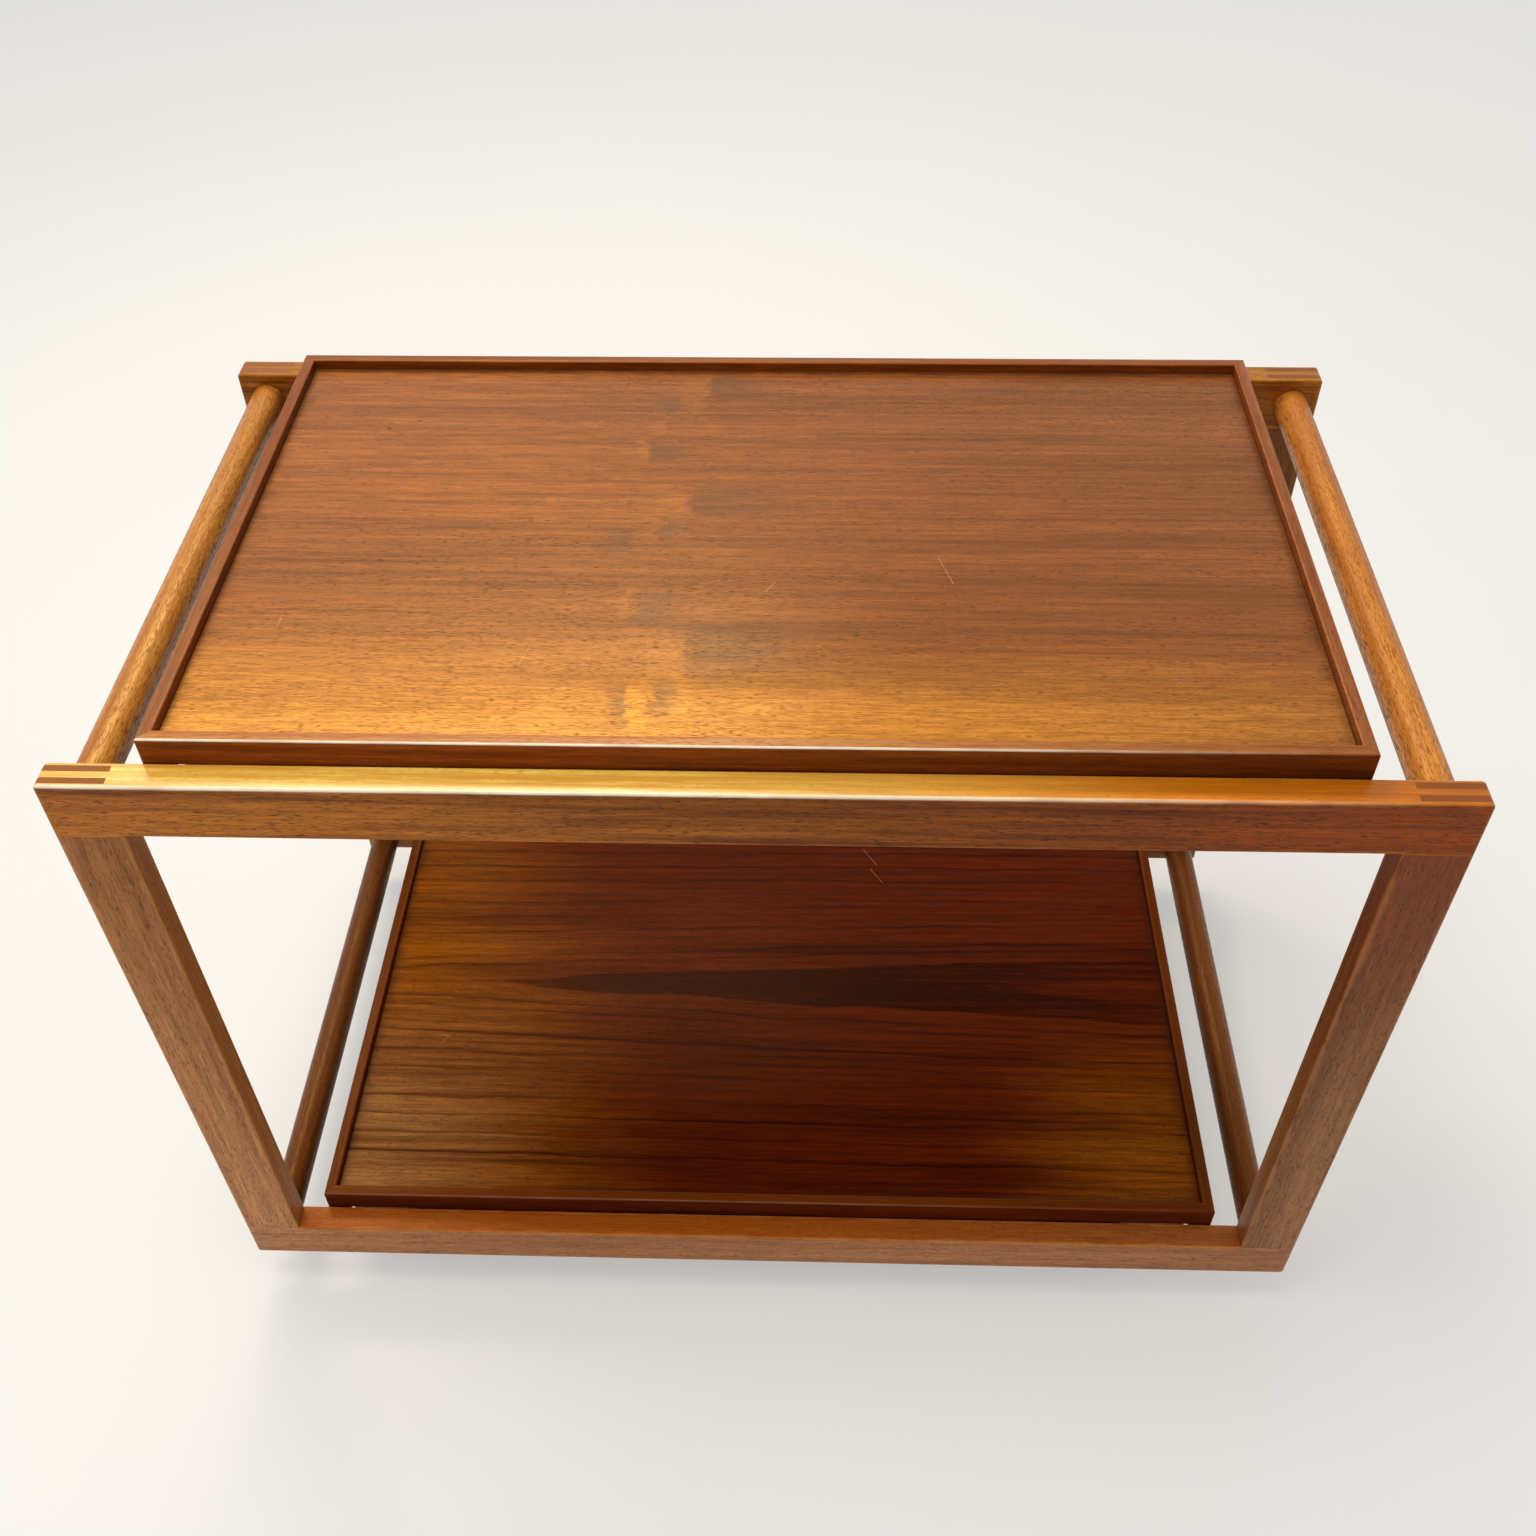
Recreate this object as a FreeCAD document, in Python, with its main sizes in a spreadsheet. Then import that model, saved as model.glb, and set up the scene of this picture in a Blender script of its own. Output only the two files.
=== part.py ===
import FreeCAD, Part
import math
import operator
import os
from types import SimpleNamespace

import Sketcher

# A two-tier serving trolley: two jointed side frames, four rods between them,
# two lipped trays on cross bearers, and four swivel castors under the lower bearers.
# +X runs along the length, +Y from front to rear, +Z up; the origin is on the floor, under the middle.

SIZES = (
    ("frame_length", 803, "side frame, end to end"),
    ("frame_depth", 448, "outside of one side frame to the outside of the other"),
    ("frame_height", 527, "underside of the bottom rails to the top of the top rails"),
    ("rail_thickness", 19.5, "rails and stiles, front to back"),
    ("top_rail_height", 41, "top rails"),
    ("bottom_rail_height", 37.5, "bottom rails"),
    ("stile_width", 40, "stiles, seen from the side"),
    ("tongue_thickness", 4.7, "each of the two tongues of a corner joint"),
    ("tongue_spacing", 4.9, "rail wood between the two tongues"),
    ("corner_round", 3, "outer corners of a side frame"),
    ("edge_round", 1.7, "eased edges of a side frame"),
    ("rod_diameter", 24, "round rods between the side frames"),
    ("rod_bevel", 0.8, "bevel at the shoulder of a rod"),
    ("rod_tenon_diameter", 12, "turned tenon on a rod"),
    ("rod_tenon_length", 11, "turned tenon on a rod"),
    ("glue_gap", 0.1, "room for glue round and behind a tenon"),
    ("hand_gap", 27, "rod to the end of the tray beside it"),
    ("tray_side_gap", 0.75, "rail to the side of the tray beside it"),
    ("upper_tray_stand", 17.5, "upper tray's lip above the top rails"),
    ("upper_tray_shift", 2.75, "how far the loose upper tray lies to the left of the middle"),
    ("lower_tray_stand", 17.5, "lower tray's lip above the bottom rails"),
    ("lip_width", 8, "tray lip"),
    ("lip_rise", 7, "lip above the panel"),
    ("lip_drop", 7, "lip below the panel"),
    ("lip_round", 1.2, "eased edges of the lips"),
    ("panel_thickness", 12, "tray panel"),
    ("panel_tongue_thickness", 5, "tongue round the panel's edge"),
    ("panel_tongue_length", 3, "tongue round the panel's edge, in the lip's groove"),
    ("panel_gap", 0.3, "fine line between the panel and the lips"),
    ("bearer_width", 44, "cross bearers, along the trolley"),
    ("bearer_height", 22, "cross bearers"),
    ("bearer_round", 1.5, "eased edges of the bearers"),
    ("bearer_inset", 42.5, "end of the tray to the middle of a bearer"),
    ("bearer_tenon_width", 34, "stub tenon on a bearer"),
    ("bearer_tenon_height", 12, "stub tenon on a bearer"),
    ("bearer_tenon_length", 8, "stub tenon on a bearer"),
    ("notch_clearance", 4.5, "bearer to each side of the notch in a lip"),
    ("castor_inset", 39, "inner face of a rail to a castor's swivel axis"),
    ("castor_trail", 14, "swivel axis to the wheel's axle"),
    ("wheel_radius", 20, "castor wheel over its tyre"),
    ("tyre_width", 14, "tyre and rim"),
    ("tyre_thickness", 5, "tyre, from rim to tread"),
    ("tyre_round", 3, "rounded shoulders of the tread"),
    ("tyre_seat_gap", 0.05, "rim to the inside of the tyre"),
    ("rim_thickness", 2.5, "hub's rim"),
    ("web_thickness", 5, "hub's web"),
    ("boss_radius", 6, "hub's boss"),
    ("hub_width", 16, "hub's boss, end to end"),
    ("hub_round", 0.6, "eased edges of the hub's boss and rim"),
    ("hub_side_gap", 0.5, "hub's boss to the fork's leg"),
    ("axle_radius", 3, "axle"),
    ("axle_head_radius", 4.5, "rivet head of the axle"),
    ("axle_head_height", 1.5, "rivet head of the axle"),
    ("axle_head_round", 1.1, "domed rim of the axle's rivet heads"),
    ("running_gap", 0.08, "round a pin or an axle that turns"),
    ("seat_gap", 0.05, "round a pin or a screw that is fixed"),
    ("fork_sheet", 2.2, "legs of the fork"),
    ("fork_crown_thickness", 2.5, "crown of the fork"),
    ("fork_crown_radius", 16, "crown of the fork"),
    ("fork_round", 0.7, "eased outer edges of the fork"),
    ("leg_top_rear", 11, "swivel axis to the rear of a leg's top"),
    ("leg_top_front", 7, "swivel axis to the front of a leg's top"),
    ("leg_end_radius", 7.5, "round end of a leg"),
    ("crown_gap", 6.8, "top of the wheel to the kingpin's head"),
    ("kingpin_radius", 4, "kingpin"),
    ("kingpin_head_radius", 6.5, "kingpin's head"),
    ("kingpin_head_height", 2.5, "kingpin's head"),
    ("kingpin_head_round", 1.2, "domed rim of the kingpin's head"),
    ("kingpin_end_gap", 0.3, "fork's crown to the kingpin's head"),
    ("plate_side", 40, "castor plate"),
    ("plate_thickness", 2.5, "castor plate"),
    ("plate_corner", 5, "rounded corners of the plate"),
    ("plate_round", 0.6, "eased lower edge of the plate"),
    ("race_radius", 10.5, "swivel axis to the middle of the balls"),
    ("race_gap", 2.4, "fork's crown to the castor plate"),
    ("ball_radius", 2, "balls of the swivel race"),
    ("ball_gap", 0.1, "round a ball in its race"),
    ("screw_inset", 5.5, "edge of the plate to the middle of a screw"),
    ("screw_radius", 1.9, "shank of a castor screw"),
    ("screw_head_radius", 3.6, "countersunk head of a castor screw"),
    ("screw_tip_length", 3, "point of a castor screw"),
    ("screw_cover", 7, "wood left between a screw's point and the top of the bearer"),
    ("screw_slot_width", 0.9, "slot in a screw's head"),
    ("screw_slot_depth", 0.9, "slot in a screw's head"),
    ("cut_overrun", 1, "how far a cutting shape runs past the wood"),
)
BALL_COUNT = 12

ARITHMETIC = {"+": operator.add, "-": operator.sub, "*": operator.mul, "/": operator.truediv}
LENGTH_AXIS = FreeCAD.Vector(1, 0, 0)
DEPTH_AXIS = FreeCAD.Vector(0, 1, 0)
UP_AXIS = FreeCAD.Vector(0, 0, 1)

doc = FreeCAD.newDocument("serving_trolley")
subparts = {}


class Formula:
    """A size that carries its number and the expression that gives it from the sheet."""

    def __init__(self, text, value):
        self.text = text
        self.value = value

    def __add__(self, other):
        return joined(self, "+", other)

    def __radd__(self, other):
        return joined(other, "+", self)

    def __sub__(self, other):
        return joined(self, "-", other)

    def __rsub__(self, other):
        return joined(other, "-", self)

    def __mul__(self, other):
        return joined(self, "*", other)

    def __rmul__(self, other):
        return joined(other, "*", self)

    def __truediv__(self, other):
        return joined(self, "/", other)

    def __neg__(self):
        return joined(0, "-", self)


def as_formula(item):
    return item if isinstance(item, Formula) else Formula(str(item), item)


def joined(left, sign, right):
    first = as_formula(left)
    second = as_formula(right)
    return Formula(f"({first.text} {sign} {second.text})", ARITHMETIC[sign](first.value, second.value))


def is_zero(item):
    return not isinstance(item, Formula) and item == 0


def size_sheet():
    """The spreadsheet of driving sizes, and the sizes as formulas that refer to it."""
    sheet = doc.addObject("Spreadsheet::Sheet", "Sizes")
    for row, (alias, value, note) in enumerate(SIZES, start=1):
        sheet.set(f"A{row}", alias)
        sheet.set(f"B{row}", str(value))
        sheet.set(f"C{row}", note)
        sheet.setAlias(f"B{row}", alias)
    doc.recompute()
    return SimpleNamespace(**{alias: Formula(f"Sizes.{alias}", sheet.get(alias)) for alias, _, _ in SIZES})


# Helpers that bind properties to the sheet


def bind(item, **formulas):
    for name, formula in formulas.items():
        item.setExpression(name, as_formula(formula).text)


def place(item, x=0, y=0, z=0, turn=None):
    """Put an object at x, y, z, turned first by an axis and an angle in degrees."""
    if turn:
        item.Placement = FreeCAD.Placement(FreeCAD.Vector(), FreeCAD.Rotation(*turn))
    for axis, formula in (("x", x), ("y", y), ("z", z)):
        item.setExpression(f"Placement.Base.{axis}", as_formula(formula).text)


def keep(item, label):
    """Name an object as a finished piece of the trolley."""
    item.Label = label
    subparts[label] = item
    return item


# Helpers for sketched bodies


def new_body(label):
    return doc.addObject("PartDesign::Body", label)


def new_sketch(body, plane, lift=0):
    sketch = body.newObject("Sketcher::SketchObject", f"{body.Name}_sketch")
    support = next(item for item in body.Origin.OriginFeatures if item.Role == plane)
    sketch.AttachmentSupport = [(support, "")]
    sketch.MapMode = "FlatFace"
    if not is_zero(lift):
        sketch.setExpression("AttachmentOffset.Base.z", lift.text)
    return sketch


def hold_point(sketch, edge, end, x, y):
    """Hold one point of a sketch at x, y from the sketch's origin."""
    for kind, axis, formula in (("DistanceX", -2, x), ("DistanceY", -1, y)):
        if is_zero(formula):
            sketch.addConstraint(Sketcher.Constraint("PointOnObject", edge, end, axis))
            continue
        number = sketch.addConstraint(Sketcher.Constraint(kind, -1, 1, edge, end, formula.value))
        sketch.setExpression(f"Constraints[{number}]", formula.text)


def draw_outline(sketch, corners):
    """A closed outline of straight lines through the corners."""
    points = [FreeCAD.Vector(as_formula(x).value, as_formula(y).value, 0) for x, y in corners]
    first = sketch.GeometryCount
    count = len(points)
    for i in range(count):
        sketch.addGeometry(Part.LineSegment(points[i], points[(i + 1) % count]), False)
    for i in range(count):
        following = first + (i + 1) % count
        sketch.addConstraint(Sketcher.Constraint("Coincident", first + i, 2, following, 1))
    for i, (x, y) in enumerate(corners):
        hold_point(sketch, first + i, 1, x, y)


def draw_rectangle(sketch, x, y, width, height):
    """A rectangle with its middle at x, y."""
    left, right = x - width / 2, x + width / 2
    low, high = y - height / 2, y + height / 2
    draw_outline(sketch, [(left, low), (right, low), (right, high), (left, high)])


def draw_circle(sketch, x, y, radius):
    centre = FreeCAD.Vector(as_formula(x).value, as_formula(y).value, 0)
    edge = sketch.addGeometry(Part.Circle(centre, UP_AXIS, radius.value), False)
    hold_point(sketch, edge, 3, x, y)
    number = sketch.addConstraint(Sketcher.Constraint("Radius", edge, radius.value))
    sketch.setExpression(f"Constraints[{number}]", radius.text)


def pad(body, sketch, length, symmetric=False):
    feature = body.newObject("PartDesign::Pad", f"{body.Name}_pad")
    feature.Profile = sketch
    feature.SideType = "Symmetric" if symmetric else "One side"
    bind(feature, Length=length)
    doc.recompute()
    return feature


def cut_checked(body, feature):
    """Recompute after a cut, and stop if it took no wood or metal away."""
    before = body.Shape.Volume
    doc.recompute()
    if not body.Shape.Volume < before:
        raise RuntimeError(f"{feature.Label} cuts nothing")
    return feature


def pocket(body, sketch, depth, symmetric=False, upward=False):
    """Cut a sketched outline to a depth, downward from the sketch unless upward is asked for."""
    feature = body.newObject("PartDesign::Pocket", f"{body.Name}_pocket")
    feature.Profile = sketch
    feature.SideType = "Symmetric" if symmetric else "One side"
    feature.Reversed = upward
    bind(feature, Length=depth)
    return cut_checked(body, feature)


def revolve(body, sketch, cut=False):
    """Turn a half outline about the sketch's vertical axis, adding it or cutting it away."""
    kind = "Groove" if cut else "Revolution"
    feature = body.newObject(f"PartDesign::{kind}", f"{body.Name}_{kind.lower()}")
    feature.Profile = sketch
    feature.ReferenceAxis = (sketch, ["V_Axis"])
    feature.Angle = 360
    if cut:
        return cut_checked(body, feature)
    doc.recompute()
    return feature


def edges_where(feature, test):
    return [f"Edge{i}" for i, edge in enumerate(feature.Shape.Edges, start=1) if test(edge)]


def ease(body, edges, kind="Fillet", **sizes):
    """Round or bevel named edges of the body's last feature."""
    base = body.Tip
    feature = body.newObject(f"PartDesign::{kind}", f"{body.Name}_{kind.lower()}")
    feature.Base = (base, edges)
    bind(feature, **sizes)
    doc.recompute()
    return feature


def runs_along(edge, axis):
    """True for a straight edge along an axis."""
    straight = isinstance(edge.Curve, Part.Line)
    return straight and abs(abs(edge.Curve.Direction.dot(axis)) - 1) < Part.Precision.confusion()


def lies_at_height(edge, height):
    box = edge.BoundBox
    return max(abs(box.ZMin - height), abs(box.ZMax - height)) < Part.Precision.approximation()


def is_circle(edge, radius):
    """True for an edge on a circle of a radius."""
    round_edge = isinstance(edge.Curve, Part.Circle)
    return round_edge and abs(edge.Curve.Radius - radius.value) < Part.Precision.approximation()


# Helpers for shapes put together from blocks and cylinders


def block(name, length, depth, height, x=0, y=0, z=0):
    """A block with the middle of its underside at x, y, z."""
    item = doc.addObject("Part::Box", name)
    bind(item, Length=length, Width=depth, Height=height)
    place(item, x - length / 2, y - depth / 2, z)
    return item


def cut(name, base, tools):
    joined_tools = doc.addObject("Part::MultiFuse", f"{name}_cutters")
    joined_tools.Shapes = tools
    item = doc.addObject("Part::Cut", name)
    item.Base = base
    item.Tool = joined_tools
    return item


def common(label, base, tool):
    item = doc.addObject("Part::Common", label)
    item.Base = base
    item.Tool = tool
    return keep(item, label)


size = size_sheet()

# Places worked out from the driving sizes

castor_height = (
    2 * size.wheel_radius
    + size.crown_gap
    + size.kingpin_head_height
    + size.kingpin_end_gap
    + size.fork_crown_thickness
    + size.race_gap
    + size.plate_thickness
)
panel_top_to_bearer_foot = size.panel_thickness + size.bearer_height
lower_bearer_rise = size.bottom_rail_height + size.lower_tray_stand - size.lip_rise - panel_top_to_bearer_foot
ground_clearance = castor_height - lower_bearer_rise
frame_top = ground_clearance + size.frame_height

tray_length = size.frame_length - size.stile_width - size.rod_diameter - 2 * size.hand_gap
tray_depth = size.frame_depth - 2 * size.rail_thickness - 2 * size.tray_side_gap
tray_height = size.lip_rise + size.panel_thickness + size.lip_drop
inner_length = tray_length - 2 * size.lip_width
inner_depth = tray_depth - 2 * size.lip_width
upper_tray_foot = frame_top + size.upper_tray_stand - tray_height
lower_tray_foot = ground_clearance + size.bottom_rail_height + size.lower_tray_stand - tray_height

clear_depth = size.frame_depth - 2 * size.rail_thickness
frame_middle = (size.frame_depth - size.rail_thickness) / 2
rod_place = (size.frame_length - size.stile_width) / 2
upper_rod_rise = size.frame_height - size.top_rail_height / 2
lower_rod_rise = size.bottom_rail_height / 2
bearer_place = tray_length / 2 - size.bearer_inset
castor_depth_place = clear_depth / 2 - size.castor_inset
TIERS = (
    ("upper", upper_tray_foot, upper_rod_rise, -size.upper_tray_shift),
    ("lower", lower_tray_foot, lower_rod_rise, 0),
)
ENDS = (("left", -1), ("right", 1))


# Side frames: each piece is cut square in a frame standing at y 0 on z 0, then trimmed by the eased outline


def frame_outline():
    """The whole eased outline of a side frame, which every piece of it is trimmed to."""
    body = new_body("frame_outline")
    sketch = new_sketch(body, "XZ_Plane")
    draw_rectangle(sketch, 0, size.frame_height / 2, size.frame_length, size.frame_height)
    pad(body, sketch, size.rail_thickness, symmetric=True)
    corners = edges_where(body.Tip, lambda edge: runs_along(edge, DEPTH_AXIS))
    ease(body, corners, Radius=size.corner_round)
    window_height = size.frame_height - size.top_rail_height - size.bottom_rail_height
    window = new_sketch(body, "XZ_Plane")
    draw_rectangle(
        window,
        0,
        size.bottom_rail_height + window_height / 2,
        size.frame_length - 2 * size.stile_width,
        window_height,
    )
    pocket(body, window, size.rail_thickness + size.cut_overrun, symmetric=True)
    face_depth = size.rail_thickness.value / 2

    def on_a_face(edge):
        box = edge.BoundBox
        return abs(abs(box.YMin + box.YMax) / 2 - face_depth) < Part.Precision.approximation()

    ease(body, edges_where(body.Tip, on_a_face), Radius=size.edge_round)
    return body


def rod_bores(name, rise):
    """Blind bores for the rods' tenons, from the inner face at +Y, one at each end."""
    bores = []
    for end, sign in ENDS:
        bore = doc.addObject("Part::Cylinder", f"{name}_{end}_bore")
        depth = size.rod_tenon_length + size.glue_gap
        bind(bore, Radius=size.rod_tenon_diameter / 2 + size.glue_gap, Height=depth + size.cut_overrun)
        place(bore, sign * rod_place, size.rail_thickness / 2 - depth, rise, turn=(LENGTH_AXIS, -90))
        bores.append(bore)
    return bores


def rail_blank(name, height, foot, rod_rise, bearer_rise):
    """A rail with two slots through each end, bores for the rods and mortises for the bearers."""
    blank = block(f"{name}_plank", size.frame_length, size.rail_thickness, height, z=foot)
    tools = rod_bores(name, rod_rise)
    tongue_place = (size.tongue_thickness + size.tongue_spacing) / 2
    slot_length = size.stile_width + size.cut_overrun
    for end, sign in ENDS:
        slot_place = sign * (size.frame_length / 2 - size.stile_width + slot_length / 2)
        for row in (-1, 1):
            tools.append(
                block(
                    f"{name}_{end}_slot",
                    slot_length,
                    size.tongue_thickness,
                    height + 2 * size.cut_overrun,
                    slot_place,
                    row * tongue_place,
                    foot - size.cut_overrun,
                )
            )
        mortise_depth = size.bearer_tenon_length + size.glue_gap
        tools.append(
            block(
                f"{name}_{end}_mortise",
                size.bearer_tenon_width,
                mortise_depth + size.cut_overrun,
                size.bearer_tenon_height,
                sign * bearer_place,
                size.rail_thickness / 2 - mortise_depth + (mortise_depth + size.cut_overrun) / 2,
                bearer_rise + (size.bearer_height - size.bearer_tenon_height) / 2,
            )
        )
    return cut(name, blank, tools)


def stile_blank(name, sign):
    """A full-height stile with two tongues left standing at each end."""
    across = sign * rod_place
    blank = block(f"{name}_plank", size.stile_width, size.rail_thickness, size.frame_height, across)
    tools = rod_bores(f"{name}_upper", upper_rod_rise) + rod_bores(f"{name}_lower", lower_rod_rise)
    cheek = (size.rail_thickness - 2 * size.tongue_thickness - size.tongue_spacing) / 2
    cheek_place = (size.rail_thickness - cheek) / 2
    wide = size.stile_width + 2 * size.cut_overrun
    ends = (
        ("foot", -size.cut_overrun, size.bottom_rail_height),
        ("head", size.frame_height - size.top_rail_height, size.top_rail_height),
    )
    for end, start, height in ends:
        tall = height + size.cut_overrun
        tools.append(block(f"{name}_{end}_middle", wide, size.tongue_spacing, tall, across, 0, start))
        for row in (-1, 1):
            deep = cheek + size.cut_overrun
            side = row * (cheek_place + size.cut_overrun / 2)
            tools.append(block(f"{name}_{end}_cheek", wide, deep, tall, across, side, start))
    return cut(name, blank, tools)


def side_frames():
    outline = frame_outline()
    upper_bearer_rise = size.frame_height + size.upper_tray_stand - size.lip_rise - panel_top_to_bearer_foot
    top_foot = size.frame_height - size.top_rail_height
    blanks = {
        "top_rail": rail_blank("top_rail", size.top_rail_height, top_foot, upper_rod_rise, upper_bearer_rise),
        "bottom_rail": rail_blank(
            "bottom_rail", size.bottom_rail_height, 0, lower_rod_rise, lower_bearer_rise
        ),
        "left_stile": stile_blank("left_stile", -1),
        "right_stile": stile_blank("right_stile", 1),
    }
    turned_names = {"left_stile": "right_stile", "right_stile": "left_stile"}
    for name, blank in blanks.items():
        front = common(f"front_{name}", outline, blank)
        place(front, 0, -frame_middle, ground_clearance)
        rear = common(f"rear_{turned_names.get(name, name)}", outline, blank)
        place(rear, 0, frame_middle, ground_clearance, turn=(UP_AXIS, 180))


# Rods and bearers between the side frames


def rod(label, x, z):
    body = new_body(label)
    sketch = new_sketch(body, "XY_Plane")
    shoulder = clear_depth / 2
    tip = shoulder + size.rod_tenon_length
    radius = size.rod_diameter / 2
    tenon = size.rod_tenon_diameter / 2
    half = [
        (0, tip),
        (tenon, tip),
        (tenon, shoulder),
        (radius - size.rod_bevel, shoulder),
        (radius, shoulder - size.rod_bevel),
    ]
    draw_outline(sketch, half + [(reach, -along) for reach, along in reversed(half)])
    revolve(body, sketch)
    place(body, x, 0, z)
    return keep(body, label)


def screw_places():
    """Middles of a castor plate's four screws, from its swivel axis."""
    reach = size.plate_side / 2 - size.screw_inset
    return [(along * reach, across * reach) for along in (-1, 1) for across in (-1, 1)]


def bearer(label, x, z, carries_castors):
    """A cross bearer with a stub tenon at each end; the lower ones are drilled for the castor screws."""
    body = new_body(label)
    section = new_sketch(body, "XZ_Plane")
    draw_rectangle(section, 0, size.bearer_height / 2, size.bearer_width, size.bearer_height)
    pad(body, section, clear_depth, symmetric=True)
    long_edges = edges_where(body.Tip, lambda edge: runs_along(edge, DEPTH_AXIS))
    ease(body, long_edges, Radius=size.bearer_round)
    tenon = new_sketch(body, "XZ_Plane")
    draw_rectangle(tenon, 0, size.bearer_height / 2, size.bearer_tenon_width, size.bearer_tenon_height)
    pad(body, tenon, clear_depth + 2 * size.bearer_tenon_length, symmetric=True)
    if carries_castors:
        holes = new_sketch(body, "XY_Plane")
        for side in (-1, 1):
            for along, across in screw_places():
                middle = side * castor_depth_place + across
                draw_circle(holes, along, middle, size.screw_radius + size.seat_gap)
        pocket(body, holes, size.bearer_height - size.screw_cover + size.seat_gap, upward=True)
    place(body, x, 0, z)
    return keep(body, label)


def rods_and_bearers():
    for tier, tray_foot, rod_rise, _ in TIERS:
        bearer_foot = tray_foot + size.lip_drop - size.bearer_height
        for end, sign in ENDS:
            rod(f"{tier}_{end}_rod", sign * rod_place, ground_clearance + rod_rise)
            bearer(f"{tier}_{end}_bearer", sign * bearer_place, bearer_foot, carries_castors=tier == "lower")


# Trays: a panel held in grooved lips, which are one ring cut at its mitres


def lip_ring():
    """The four lips as one grooved ring, notched underneath where it sits over the bearers."""
    body = new_body("lip_ring")
    outside = new_sketch(body, "XY_Plane")
    draw_rectangle(outside, 0, 0, tray_length, tray_depth)
    draw_rectangle(outside, 0, 0, inner_length, inner_depth)
    pad(body, outside, tray_height)
    rims = (0, tray_height.value)
    ease(
        body,
        edges_where(body.Tip, lambda edge: any(lies_at_height(edge, rim) for rim in rims)),
        Radius=size.lip_round,
    )
    groove_foot = size.lip_drop + (size.panel_thickness - size.panel_tongue_thickness) / 2
    groove = new_sketch(body, "XY_Plane", lift=groove_foot)
    reach = size.panel_tongue_length + size.glue_gap
    draw_rectangle(groove, 0, 0, inner_length + 2 * reach, inner_depth + 2 * reach)
    pocket(body, groove, size.panel_tongue_thickness, upward=True)
    notches = new_sketch(body, "XY_Plane")
    notch_width = size.bearer_width + 2 * size.notch_clearance
    for _, sign in ENDS:
        draw_rectangle(notches, sign * bearer_place, 0, notch_width, tray_depth + size.cut_overrun)
    pocket(body, notches, size.lip_drop, upward=True)
    return body


def mitre_wedge(side):
    """The share of the tray's plan that belongs to one lip, bounded by the mitres at 45 degrees."""
    body = new_body(f"{side}_mitre")
    sketch = new_sketch(body, "XY_Plane")
    reach_x = tray_length / 2 + size.cut_overrun
    reach_y = tray_depth / 2 + size.cut_overrun
    ridge = (tray_length - tray_depth) / 2
    corners = {
        "front": [(-reach_x, -reach_y), (reach_x, -reach_y), (ridge, 0), (-ridge, 0)],
        "rear": [(-ridge, 0), (ridge, 0), (reach_x, reach_y), (-reach_x, reach_y)],
        "left": [(-reach_x, -reach_y), (-ridge, 0), (-reach_x, reach_y)],
        "right": [(reach_x, -reach_y), (reach_x, reach_y), (ridge, 0)],
    }
    draw_outline(sketch, corners[side])
    pad(body, sketch, tray_height)
    return body


def tray_panel(label, across, foot):
    """A panel whose edge is a tongue that sits in the lips' groove."""
    body = new_body(label)
    gap = 2 * size.panel_gap
    board = new_sketch(body, "XY_Plane")
    draw_rectangle(board, 0, 0, inner_length - gap, inner_depth - gap)
    pad(body, board, size.panel_thickness)
    tongue = new_sketch(body, "XY_Plane", lift=(size.panel_thickness - size.panel_tongue_thickness) / 2)
    reach = 2 * size.panel_tongue_length
    draw_rectangle(tongue, 0, 0, inner_length + reach, inner_depth + reach)
    pad(body, tongue, size.panel_tongue_thickness)
    place(body, across, 0, foot + size.lip_drop)
    return keep(body, label)


def trays():
    ring = lip_ring()
    for side in ("front", "rear", "left", "right"):
        wedge = mitre_wedge(side)
        for tier, tray_foot, _, across in TIERS:
            lip = common(f"{tier}_tray_{side}_lip", ring, wedge)
            place(lip, across, 0, tray_foot)
    for tier, tray_foot, _, across in TIERS:
        tray_panel(f"{tier}_tray_panel", across, tray_foot)


# Castors: each stands on its own swivel axis, with the wheel trailing towards -X

plate_foot = castor_height - size.plate_thickness
crown_top = plate_foot - size.race_gap
crown_foot = crown_top - size.fork_crown_thickness
ball_rise = plate_foot - size.race_gap / 2
fork_room = size.hub_width + 2 * size.hub_side_gap
fork_width = fork_room + 2 * size.fork_sheet
CASTORS = tuple(
    (f"{side}_{end}_castor", along * bearer_place, across * castor_depth_place)
    for side, across in (("front", -1), ("rear", 1))
    for end, along in ENDS
)


def cut_race(body):
    """The groove in which the balls run."""
    sketch = new_sketch(body, "XZ_Plane")
    draw_circle(sketch, size.race_radius, ball_rise, size.ball_radius + size.ball_gap)
    revolve(body, sketch, cut=True)


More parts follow.
